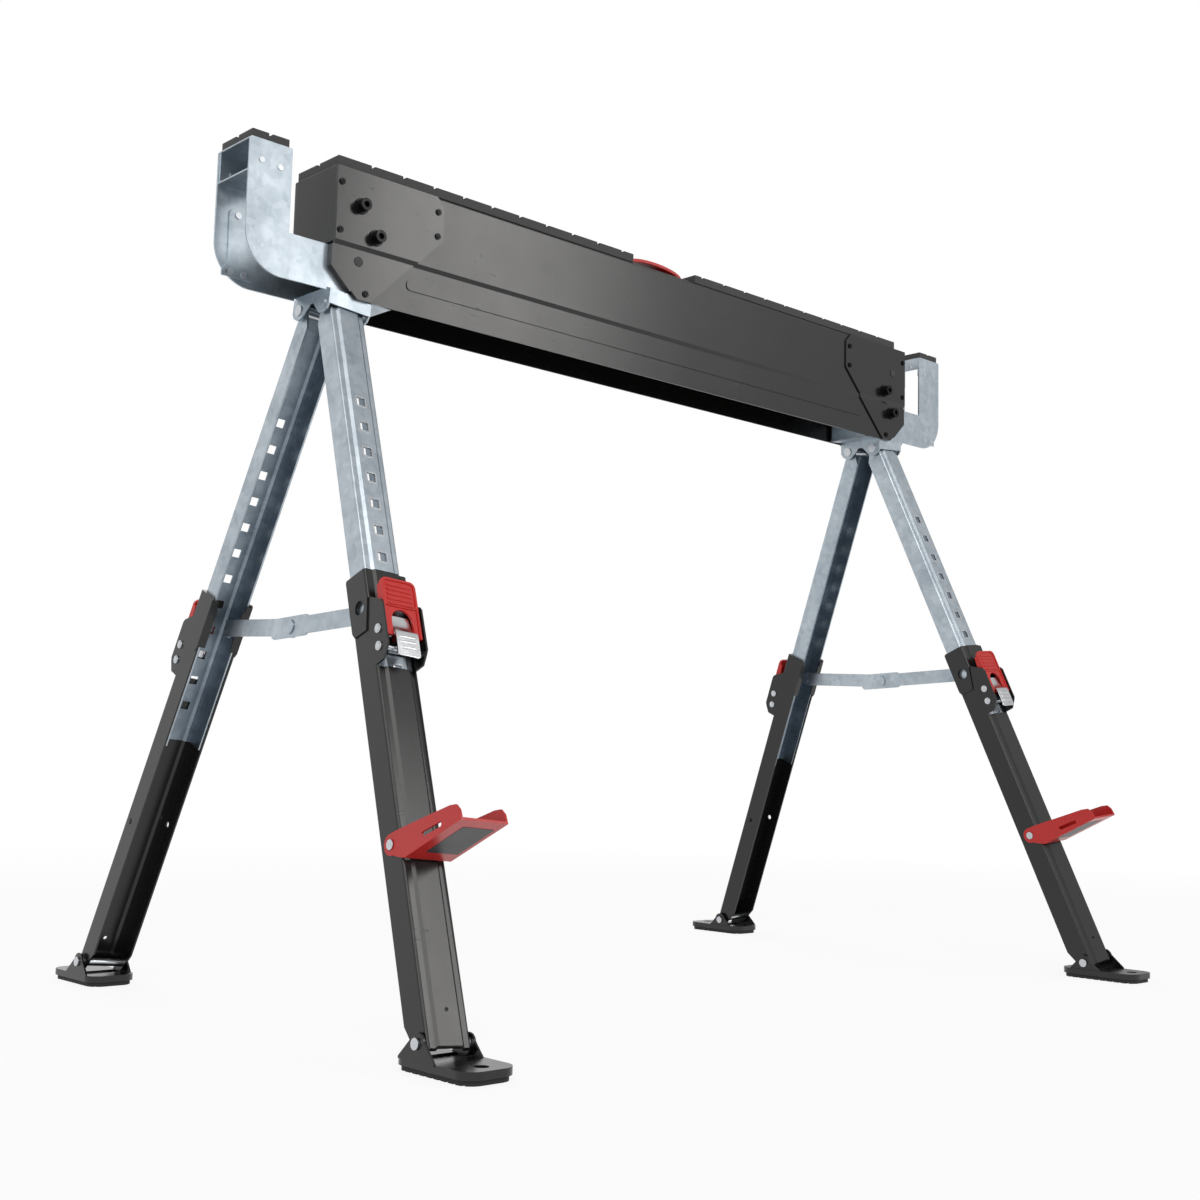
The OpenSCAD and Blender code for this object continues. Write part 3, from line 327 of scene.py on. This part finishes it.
# Distances in metres, angles in degrees: "flat" is melted together, "sharp" is rounded
edgeLook = {"weld": 0.000005, "flat": 0.6, "sharp": 28, "smooth": 26, "weight": 50}


def only(piece):
    bpy.ops.object.select_all(action="DESELECT")
    piece.select_set(True)
    bpy.context.view_layer.objects.active = piece


def applied(piece, kind, name, **settings):
    modifier = piece.modifiers.new(name, kind)
    for key, value in settings.items():
        setattr(modifier, key, value)
    only(piece)
    bpy.ops.object.modifier_apply(modifier=name)


def unmarked(mesh):
    for part in list(mesh.vertices) + list(mesh.edges) + list(mesh.polygons):
        part.select = False


def selectWhere(piece, test, kind="VERT"):
    # In object mode: marks the vertices, edges or faces that pass the test
    mesh = piece.data
    unmarked(mesh)
    if kind == "VERT":
        for vertex in mesh.vertices:
            vertex.select = test(vertex.co)
    elif kind == "EDGE":
        for edge in mesh.edges:
            first, second = (mesh.vertices[index].co for index in edge.vertices)
            edge.select = test((first + second) / 2)
    else:
        for face in mesh.polygons:
            face.select = test(face.center, face.normal)


def inEdit(piece, kind="VERT"):
    only(piece)
    # The mode comes before edit mode, or the marked edges and faces are lost
    bpy.context.tool_settings.mesh_select_mode = [kind == each for each in ("VERT", "EDGE", "FACE")]
    bpy.ops.object.mode_set(mode="EDIT")


def moved(piece, test, shift):
    selectWhere(piece, test)
    inEdit(piece)
    bpy.ops.transform.translate(value=shift)
    bpy.ops.object.mode_set(mode="OBJECT")


def resized(piece, test, factors, centre):
    selectWhere(piece, test)
    inEdit(piece)
    bpy.ops.transform.resize(value=factors, center_override=centre)
    bpy.ops.object.mode_set(mode="OBJECT")


def dressed(piece, finish, radius, segments, smooth=edgeLook["smooth"]):
    # Rounds the sharp edges, evens the shading and lays the finish on
    applied(piece, "BEVEL", "edges", width=radius, segments=segments, limit_method="ANGLE",
            angle_limit=math.radians(edgeLook["sharp"]), use_clamp_overlap=True)
    only(piece)
    bpy.ops.object.shade_smooth_by_angle(angle=math.radians(smooth))
    applied(piece, "WEIGHTED_NORMAL", "evenNormals", keep_sharp=True, weight=edgeLook["weight"],
            mode="FACE_AREA")
    piece.data.materials.clear()
    piece.data.materials.append(finishes[finish])


def roundedCopy(name, finish, radius, segments):
    source = nodes[name]
    piece = source.copy()
    piece.data = source.data.copy()
    piece.name = name + "_shown"
    piece.parent = None
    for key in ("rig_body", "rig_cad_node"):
        if key in piece:
            del piece[key]
    bpy.context.scene.collection.objects.link(piece)
    inEdit(piece)
    bpy.ops.mesh.select_all(action="SELECT")
    bpy.ops.mesh.remove_doubles(threshold=edgeLook["weld"])
    bpy.ops.mesh.dissolve_limited(angle_limit=math.radians(edgeLook["flat"]), delimit=set())
    bpy.ops.object.mode_set(mode="OBJECT")
    dressed(piece, finish, radius, segments)
    return piece


# Local frame of a leg: X across, -Y outward, -Z down the leg from its pivot
legFrame = {"lean": 5.14, "splay": 22.61, "x": -0.4362, "y": -0.0206, "z": 0.675603}


def legMatrix(end, row):
    place = Matrix.Translation((legFrame["x"], legFrame["y"], legFrame["z"]))
    turn = Matrix.Rotation(math.radians(legFrame["lean"]), 4, "Y") @ Matrix.Rotation(
        math.radians(-legFrame["splay"]), 4, "X")
    flip = Matrix.Diagonal((1 if end == "left" else -1, 1 if row == "front" else -1, 1, 1))
    return flip @ place @ turn


# Painted shade inside an upper leg: the faces that have the leg's middle line in front of them, more than
# "least" away, get the darker sheet. The line runs "axis" inward of the pivot (millimetres)
insideLook = {"axis": 5.0, "least": 0.7}


def paintShadeInside(piece, end, row, look):
    toLeg = legMatrix(end, row).inverted()
    turn = toLeg.to_3x3()

    def facesIn(centre, normal):
        place, way = toLeg @ centre, turn @ normal
        return way.x * -place.x + way.y * (look["axis"] * mm - place.y) > look["least"] * mm

    piece.data.materials.append(finishes["inside"])
    selectWhere(piece, facesIn, "FACE")
    inEdit(piece, "FACE")
    piece.active_material_index = 1
    bpy.ops.object.material_slot_assign()
    bpy.ops.object.mode_set(mode="OBJECT")


# Bolt heads that the photograph shows smaller: their axis in the leg's frame, seat across it
# (millimetres), and the share of the solid's size
headLook = {
    "ankle": {"out": 0, "down": 711.9, "seat": 26.3, "share": 0.74, "rows": ("front", "back")},
    "support": {"out": -2.8, "down": 549.9, "seat": 24.25, "share": 0.84, "rows": ("front",)},
    "near": 9.0, "slack": 0.3,
}


def smallHeads(piece, end, row, look):
    toWorld = legMatrix(end, row)
    toLeg = toWorld.inverted()
    for head in (look["ankle"], look["support"]):
        if row not in head["rows"]:
            continue
        axis = Vector((0, -head["out"] * mm, -head["down"] * mm))
        for side in (-1, 1):

            def onHead(co):
                place = toLeg @ co
                past = side * place.x > (head["seat"] - look["slack"]) * mm
                return past and (place - axis).yz.length < look["near"] * mm

            middle = toWorld @ (axis + Vector((side * head["seat"] * mm, 0, 0)))
            resized(piece, onHead, (head["share"],) * 3, tuple(middle))


# Where the pads lie: the top of the beam and of the arms
seatHeight = 0.8126
# The photograph's arms and trays end higher than the solids, and its straps are wider
armLook = {"rise": 0.003, "armBand": 0.003, "trayBand": 0.0018, "outerHalf": 0.5, "strapWider": 1.3}


def reshaped(piece, name, kind, look):
    lift = (0, 0, look["rise"])
    if kind == "end_arm":
        armLow = seatHeight - look["armBand"]
        moved(piece, lambda co: co.z > armLow and abs(co.x) > look["outerHalf"], lift)
    elif kind == "arm_tray":
        moved(piece, lambda co: co.z > seatHeight - look["trayBand"], lift)
    elif kind == "arm_strap":
        middle = sum((Vector(corner) for corner in piece.bound_box), Vector()) / 8
        resized(piece, lambda co: True, (look["strapWider"], 1, 1), tuple(middle))
    elif kind == "upper_leg":
        # Painted shade on the inner faces of the upper legs
        paintShadeInside(piece, *name.split("_")[2:4], insideLook)
    elif kind == "leg_pins":
        smallHeads(piece, *name.split("_")[2:4], headLook)


for name, source in nodes.items():
    kind = max((start for start in dressing if name.startswith(start)), key=len)
    finish, radius, segments = dressing[kind]
    source.data.materials.clear()
    source.data.materials.append(finishes[finish])
    if segments:
        body = source["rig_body"]
        piece = roundedCopy(name, finish, radius, segments)
        reshaped(piece, name, kind, armLook)
        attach(piece, body)
        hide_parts(name)
print("pieces dressed", len(nodes))


# Pieces made here
def finished(piece, name, finish, body, node, edge, segments, smooth=edgeLook["smooth"]):
    piece.name = name
    only(piece)
    bpy.ops.object.transform_apply(location=True, rotation=True, scale=True)
    inEdit(piece)
    bpy.ops.mesh.select_all(action="SELECT")
    bpy.ops.mesh.normals_make_consistent(inside=False)
    bpy.ops.object.mode_set(mode="OBJECT")
    dressed(piece, finish, edge, segments, smooth)
    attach(piece, body)
    if node:
        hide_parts(node)
    return piece


def newCube(low, high):
    bpy.ops.object.select_all(action="DESELECT")
    bpy.ops.mesh.primitive_cube_add(size=1)
    piece = bpy.context.object
    size = [b - a for a, b in zip(low, high)]
    inEdit(piece)
    bpy.ops.mesh.select_all(action="SELECT")
    bpy.ops.transform.resize(value=size, center_override=(0, 0, 0))
    bpy.ops.transform.translate(value=[(a + b) / 2 for a, b in zip(low, high)])
    bpy.ops.object.mode_set(mode="OBJECT")
    return piece


def cutAt(piece, place, normal):
    inEdit(piece)
    bpy.ops.mesh.select_all(action="SELECT")
    bpy.ops.mesh.bisect(plane_co=place, plane_no=normal)
    bpy.ops.object.mode_set(mode="OBJECT")


def roundCorners(piece, test, radius):
    selectWhere(piece, test, "EDGE")
    inEdit(piece, "EDGE")
    bpy.ops.mesh.bevel(offset=radius, segments=5, affect="EDGES", clamp_overlap=True)
    bpy.ops.object.mode_set(mode="OBJECT")


def joined(pieces):
    bpy.ops.object.select_all(action="DESELECT")
    for piece in pieces:
        piece.select_set(True)
    bpy.context.view_layer.objects.active = pieces[0]
    bpy.ops.object.join()
    return pieces[0]


# Ribbed pads: raised blocks between cross slits, a groove along the middle
padLook = {
    "slitDeep": 0.0028, "slitHalf": 0.0018, "grooveHalf": 0.0022, "pitch": 0.0381, "bareEnd": 0.008,
    "edge": 0.0009,
    "topHalf": 0.0362, "topThick": 0.0100, "leftStart": -0.4588, "leftSlit": -0.4178, "rightSlit": 0.0138,
    "armHalf": 0.0282, "armThick": 0.0088, "armSlit": 0.020,
}


def ribbedPad(name, x0, x1, half, foot, firstSlit, thick, body, look):
    base = foot + thick - look["slitDeep"]
    piece = newCube((x0, -half, foot), (x1, half, base))
    slits = []
    x = firstSlit
    while x < x1 - look["bareEnd"]:
        slits.append(x)
        x += look["pitch"]
    for x in slits:
        cutAt(piece, (x - look["slitHalf"], 0, 0), (1, 0, 0))
        cutAt(piece, (x + look["slitHalf"], 0, 0), (1, 0, 0))
    for side in (-1, 1):
        cutAt(piece, (0, side * look["grooveHalf"], 0), (0, 1, 0))

    def onRib(centre, normal):
        clear = all(abs(centre.x - x) > look["slitHalf"] for x in slits)
        return normal.z > facing and clear and abs(centre.y) > look["grooveHalf"]

    selectWhere(piece, onRib, "FACE")
    inEdit(piece, "FACE")
    bpy.ops.mesh.extrude_region_move(TRANSFORM_OT_translate={"value": (0, 0, look["slitDeep"])})
    bpy.ops.object.mode_set(mode="OBJECT")
    finished(piece, name + "_ribs", "pad", body, name, look["edge"], 2)


topLeft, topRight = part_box("top_pad_left"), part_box("top_pad_right")
topHalf, topThick = padLook["topHalf"], padLook["topThick"]
ribbedPad("top_pad_left", padLook["leftStart"], topLeft[1].x, topHalf, seatHeight, padLook["leftSlit"],
          topThick, "beam", padLook)
ribbedPad("top_pad_right", topRight[0].x, topRight[1].x, topHalf, seatHeight,
          topRight[0].x + padLook["rightSlit"], topThick, "beam", padLook)
for end in ends:
    low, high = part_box("arm_pad_" + end)
    slit = low.x + padLook["armSlit"] if end == "left" else high.x - padLook["armSlit"]
    ribbedPad("arm_pad_" + end, low.x, high.x, padLook["armHalf"], seatHeight + armLook["rise"], slit,
              padLook["armThick"], "end_" + end, padLook)
print("pads made")

# Carrying handle: an arched strap, and two hooked legs that go down through the beam
handleLook = {
    "middle": -0.007, "half": 0.0455, "halfWide": 0.020, "thick": 0.0042, "steps": 22,
    "foot": 0.8168, "rise": 0.0118, "fullness": 0.8,
    "legOut": 0.0432, "legHalf": 0.0015, "legHalfWide": 0.016, "legLow": 0.790, "legHigh": 0.8155,
    "hookIn": 0.004, "hookPast": 0.001, "hookHigh": 0.7928,
    "edge": 0.0009,
}


def strip(path, width, thick):
    # A grid whose columns are moved onto the path in XZ, then given thickness
    bpy.ops.object.select_all(action="DESELECT")
    count = len(path)
    bpy.ops.mesh.primitive_grid_add(x_subdivisions=count - 1, y_subdivisions=1, size=1)
    piece = bpy.context.object
    columns = [[v.index for v in piece.data.vertices if abs(v.co.x + 0.5 - i / (count - 1)) < 0.3 / count]
               for i in range(count)]
    for i, (x, z) in enumerate(path):
        unmarked(piece.data)
        for index in columns[i]:
            piece.data.vertices[index].select = True
        inEdit(piece)
        bpy.ops.transform.resize(value=(1, width, 1), center_override=(0, 0, 0))
        bpy.ops.transform.translate(value=(x + 0.5 - i / (count - 1), 0, z))
        bpy.ops.object.mode_set(mode="OBJECT")
    applied(piece, "SOLIDIFY", "sheet", thickness=thick, offset=-1, use_even_offset=True)
    return piece


def makeHandle(look):
    path = []
    for i in range(look["steps"] + 1):
        angle = math.pi * i / look["steps"]
        lift = math.sin(angle) ** look["fullness"]
        path.append((look["middle"] - look["half"] * math.cos(angle), look["foot"] + look["rise"] * lift))
    parts = [strip(path, 2 * look["halfWide"], look["thick"])]
    half, wide = look["legHalf"], look["legHalfWide"]
    for side in (-1, 1):
        x = look["middle"] + side * look["legOut"]
        parts.append(newCube((x - half, -wide, look["legLow"]), (x + half, wide, look["legHigh"])))
        start, stop = sorted((x, x - side * look["hookIn"]))
        parts.append(newCube((start - look["hookPast"], -wide, look["legLow"]),
                             (stop + look["hookPast"], wide, look["hookHigh"])))
    finished(joined(parts), "carry_handle_arch", "redPlastic", "handle", "carry_handle", look["edge"], 3, 30)


makeHandle(handleLook)
print("handle made")

# Thumb lever: a bent sheet with a ribbed paddle, cheeks and the tongue with the tooth.
# All in the leg's frame, in millimetres; the points of the bend are (outward, down the leg)
thumbLook = {
    "bend": [(19.6, 347.2), (19.7, 352.0), (20.3, 356.0), (21.8, 359.6), (24.0, 362.4),
             (26.2, 364.6), (26.9, 367.2), (27.0, 372.0), (26.8, 388.6)],
    "neckHalf": 10.0, "sheet": 1.7, "edge": 0.4,
    "paddleHalf": 12.2, "paddleFrom": 363.5, "corner": 2.6, "cornerFrom": 388.4,
    "ribs": (370.8, 375.9, 381.0), "ribOut": 26.7, "ribHalf": 7.8, "ribRadius": 1.5, "ribEnd": 0.7,
    # Outward, across and down the leg, each from and to
    "cheek": ((9.4, 25.4), (8.4, 10.2), (366.4, 379.0)), "cheekDrop": 1.0,
    # Cross plate, tongue and tooth: outward from and to, half width, down the leg from and to
    "plates": ((9.4, 11.2, 10.2, 366.5, 379.0), (9.4, 11.2, 3.6, 333.15, 367.0),
               (8.25, 9.5, 3.6, 333.15, 340.15)),
}


def thumbRib(down, look):
    bpy.ops.object.select_all(action="DESELECT")
    bpy.ops.mesh.primitive_cylinder_add(vertices=20, radius=look["ribRadius"] * mm,
                                        depth=2 * look["ribHalf"] * mm,
                                        location=(look["ribOut"] * mm, 0, -down * mm),
                                        rotation=(math.pi / 2, 0, 0))
    rib = bpy.context.object
    bpy.ops.object.transform_apply(location=True, rotation=True, scale=True)
    applied(rib, "BEVEL", "ends", width=look["ribEnd"] * mm, segments=2, limit_method="ANGLE",
            angle_limit=math.radians(60))
    return rib


def makeThumb(end, row, look):
    # The strip runs in XZ, so it is drawn as (outward, up) and turned to look outward
    sheet = strip([(t * mm, -s * mm) for t, s in look["bend"]], 2 * look["neckHalf"] * mm, look["sheet"] * mm)
    widened = (1, look["paddleHalf"] / look["neckHalf"], 1)
    resized(sheet, lambda co: co.z < -look["paddleFrom"] * mm, widened, (0, 0, 0))
    rim = 0.99 * look["paddleHalf"] * mm
    roundCorners(sheet, lambda co: co.z < -look["cornerFrom"] * mm and abs(co.y) > rim, look["corner"] * mm)
    parts = [sheet] + [thumbRib(down, look) for down in look["ribs"]]
    out, across, down = look["cheek"]
    for side in (-1, 1):
        low, high = sorted(side * reach * mm for reach in across)
        cheek = newCube((out[0] * mm, low, -down[1] * mm), (out[1] * mm, high, -down[0] * mm))
        moved(cheek, lambda co: co.x > sum(out) * mm / 2 and co.z > -sum(down) * mm / 2,
              (0, 0, -look["cheekDrop"] * mm))
        parts.append(cheek)
    for inner, outer, half, start, stop in look["plates"]:
        parts.append(newCube((inner * mm, -half * mm, -stop * mm), (outer * mm, half * mm, -start * mm)))
    lever = joined(parts)
    # Outward is -Y in the leg's frame
    outward = Matrix.Rotation(-math.pi / 2, 4, "Z")
    lever.matrix_world = legMatrix(end, row) @ outward
    name = "thumb_lever_" + end + "_" + row
    finished(lever, name + "_sheet", "lever", "thumb_" + end + "_" + row, name, look["edge"] * mm, 2, 30)


for end, row in legs:
    makeThumb(end, row, thumbLook)
print("thumb levers made")

# Pressed rims round the lock holes of the upper legs, in the leg's frame (millimetres)
rimLook = {"first": 112.65, "pitch": 28, "count": 12, "inner": 4.4, "outer": 6.3, "from": 7.3, "to": 7.92,
           "corner": 2.0, "edge": 0.18}


def makeRims(end, row, look):
    inner, outer = look["inner"] * mm, look["outer"] * mm
    rim = newCube((-outer, -look["to"] * mm, -outer), (outer, -look["from"] * mm, outer))
    for side in (-1, 1):
        cutAt(rim, (side * inner, 0, 0), (1, 0, 0))
        cutAt(rim, (0, 0, side * inner), (0, 0, 1))

    def overHole(co, normal):
        return abs(co.x) < inner and abs(co.z) < inner and abs(normal.y) > facing

    selectWhere(rim, overHole, "FACE")
    inEdit(rim, "FACE")
    bpy.ops.mesh.bridge_edge_loops()
    bpy.ops.object.mode_set(mode="OBJECT")
    roundCorners(rim, lambda co: abs(abs(co.x) - outer) < hair and abs(abs(co.z) - outer) < hair,
                 look["corner"] * mm)
    rims = []
    for i in range(look["count"]):
        copy = rim.copy()
        copy.data = rim.data.copy()
        bpy.context.scene.collection.objects.link(copy)
        down = (look["first"] + i * look["pitch"]) * mm
        copy.matrix_world = legMatrix(end, row) @ Matrix.Translation((0, 0, -down))
        rims.append(copy)
    bpy.data.objects.remove(rim)
    place = end + "_" + row
    finished(joined(rims), "lock_rims_" + place, "bright", "upper_" + place, None, look["edge"] * mm, 2, 30)


for end, row in legs:
    makeRims(end, row, rimLook)
print("rims made")

# Bare dark film on the underside of each board support, in the leg's frame (millimetres)
filmLook = {"start": (12.4, 566.3), "rise": 3.6, "along": (14, 64), "across": (-12.5, 20), "thick": 0.2,
            "sunk": 0.05, "corner": 1.2, "edge": 0.06}


def makeFilm(end, look):
    low = (look["across"][0] * mm, -look["along"][1] * mm, -look["thick"] * mm)
    high = (look["across"][1] * mm, -look["along"][0] * mm, look["sunk"] * mm)
    film = newCube(low, high)

    def atCorner(co):
        return all(min(abs(co[axis] - low[axis]), abs(co[axis] - high[axis])) < hair for axis in (0, 1))

    roundCorners(film, atCorner, look["corner"] * mm)
    t, s = look["start"]
    laid = Matrix.Translation((0, -t * mm, -s * mm)) @ Matrix.Rotation(math.radians(-look["rise"]), 4, "X")
    film.matrix_world = legMatrix(end, "front") @ laid
    finished(film, "support_film_" + end, "label", "support_" + end, None, look["edge"] * mm, 1, 30)


for end in ends:
    makeFilm(end, filmLook)
print("films laid")

# Camera, floor and light
cameraLook = {
    "place": (-1.2614, -1.2796, 0.2386),
    "yaw": 43.1, "pitch": 6.1, "roll": 1.4,
    "lens": 46.725, "sensor": 36, "nearest": 0.01,
}


def makeCamera(look):
    yaw, pitch, roll = (math.radians(look[key]) for key in ("yaw", "pitch", "roll"))
    forward = Vector((math.sin(yaw) * math.cos(pitch), math.cos(yaw) * math.cos(pitch), math.sin(pitch)))
    right = forward.cross(Vector((0, 0, 1))).normalized()
    up = right.cross(forward)
    x = right * math.cos(roll) + up * math.sin(roll)
    y = up * math.cos(roll) - right * math.sin(roll)
    bpy.ops.object.camera_add()
    camera = bpy.context.object
    camera.name = "photoCamera"
    turned = Matrix((x, y, -forward)).transposed().to_4x4()
    camera.matrix_world = Matrix.Translation(look["place"]) @ turned
    camera.data.lens = look["lens"]
    camera.data.sensor_width = look["sensor"]
    camera.data.clip_start = look["nearest"]
    bpy.context.scene.camera = camera


makeCamera(cameraLook)

# "Lit" is the strength of the sky as light, "seen" and "shown" as the camera and mirrors see it.
# The mirrored sky is darker overhead and on the right. The floor fades into the sky with distance
studio = {
    "worldSeen": 1.0, "worldLit": 0.5,
    "ceilingFrom": 0.40, "ceilingFade": 1.8, "ceilingShown": 0.40,
    "wallFrom": 0.70, "wallFade": 4, "wallShown": 0.25,
    "floorHalf": 60, "floorDrop": 0.0002,
    "floorColour": (0.86, 0.86, 0.86, 1), "floorRoughness": 0.9, "floorGlow": 0.88,
    "floorFadeFrom": 1.3, "floorFadeLength": 1.6,
    # Name, place, aim, width, height and watts of each lamp
    "lampColour": (1, 0.985, 0.965),
    "lamps": (
        ("keyLamp", (-2.2, -2.4, 2.6), (0, 0, 0.5), 2.4, 2.4, 52),
        ("fillLamp", (1.62, -2.5, 1.75), (-0.2, 0, 0.7), 0.7, 1.0, 13),
        ("rimLamp", (0.4, 2.8, 2.2), (0, 0, 0.5), 2.4, 2.4, 26),
    ),
}


def rayKind(wire, name):
    return wire.node("ShaderNodeLightPath", {}, {}, name)


def makeSky(look):
    world = bpy.data.worlds.new("studioWorld")
    world.use_nodes = True
    bpy.context.scene.world = world
    background = world.node_tree.nodes["Background"]
    start = Wire(world.node_tree, None)
    camera = rayKind(start, "Is Camera Ray")
    mirrored = (rayKind(start, "Is Glossy Ray") + rayKind(start, "Is Transmission Ray")).clamped()
    heading = start.node("ShaderNodeTexCoord", {}, {}, "Generated")
    height = heading.node("ShaderNodeSeparateXYZ", {}, {"Vector": heading}, "Z")
    right = heading.node("ShaderNodeSeparateXYZ", {}, {"Vector": heading}, "X")
    ceiling = ((height - look["ceilingFrom"]) * look["ceilingFade"]).clamped()
    wall = ((right - look["wallFrom"]) * look["wallFade"]).clamped()
    shownSky = look["worldSeen"] - ceiling * (look["worldSeen"] - look["ceilingShown"])
    shownSky = shownSky * (1 - wall * (1 - look["wallShown"]))
    strength = look["worldLit"] + mirrored * (shownSky - look["worldLit"])
    background.inputs["Color"].default_value = (1, 1, 1, 1)
    camera.plug(background.inputs["Strength"], strength + camera * (look["worldSeen"] - strength))


def makeFloor(look):
    bpy.ops.object.select_all(action="DESELECT")
    bpy.ops.mesh.primitive_plane_add(size=2 * look["floorHalf"], location=(0, 0, -look["floorDrop"]))
    floor = bpy.context.object
    floor.name = "studioFloor"
    material, shader, place = newFinish("paleFloor")
    tree = material.node_tree
    shader.inputs["Base Color"].default_value = look["floorColour"]
    shader.inputs["Roughness"].default_value = look["floorRoughness"]
    glow = place.node("ShaderNodeEmission", {}, {"Color": (1, 1, 1, 1), "Strength": 1.0})
    seen = (rayKind(glow, "Is Camera Ray") + rayKind(glow, "Is Glossy Ray")).clamped()
    reach = place.node("ShaderNodeVectorMath", {"operation": "LENGTH"}, {"Vector": place}, "Value")
    far = ((reach - look["floorFadeFrom"]) / look["floorFadeLength"]).clamped()
    share = seen * (look["floorGlow"] + far * (1 - look["floorGlow"]))
    surface = share.node("ShaderNodeMixShader", {}, {0: share, 1: Wire(tree, shader.outputs[0]), 2: glow})
    surface.plug(tree.nodes["Material Output"].inputs["Surface"], surface)
    floor.data.materials.append(material)


def makeLamps(look):
    for name, place, aim, wide, high, power in look["lamps"]:
        bpy.ops.object.light_add(type="AREA", location=place)
        lamp = bpy.context.object
        lamp.name = name
        lamp.data.shape = "RECTANGLE"
        lamp.data.size = wide
        lamp.data.size_y = high
        lamp.data.energy = power
        lamp.data.color = look["lampColour"]
        lamp.rotation_euler = (Vector(aim) - Vector(place)).to_track_quat("-Z", "Y").to_euler()


makeSky(studio)
makeFloor(studio)
makeLamps(studio)
view = bpy.context.scene.view_settings
view.view_transform = "Standard"
print("studio made")
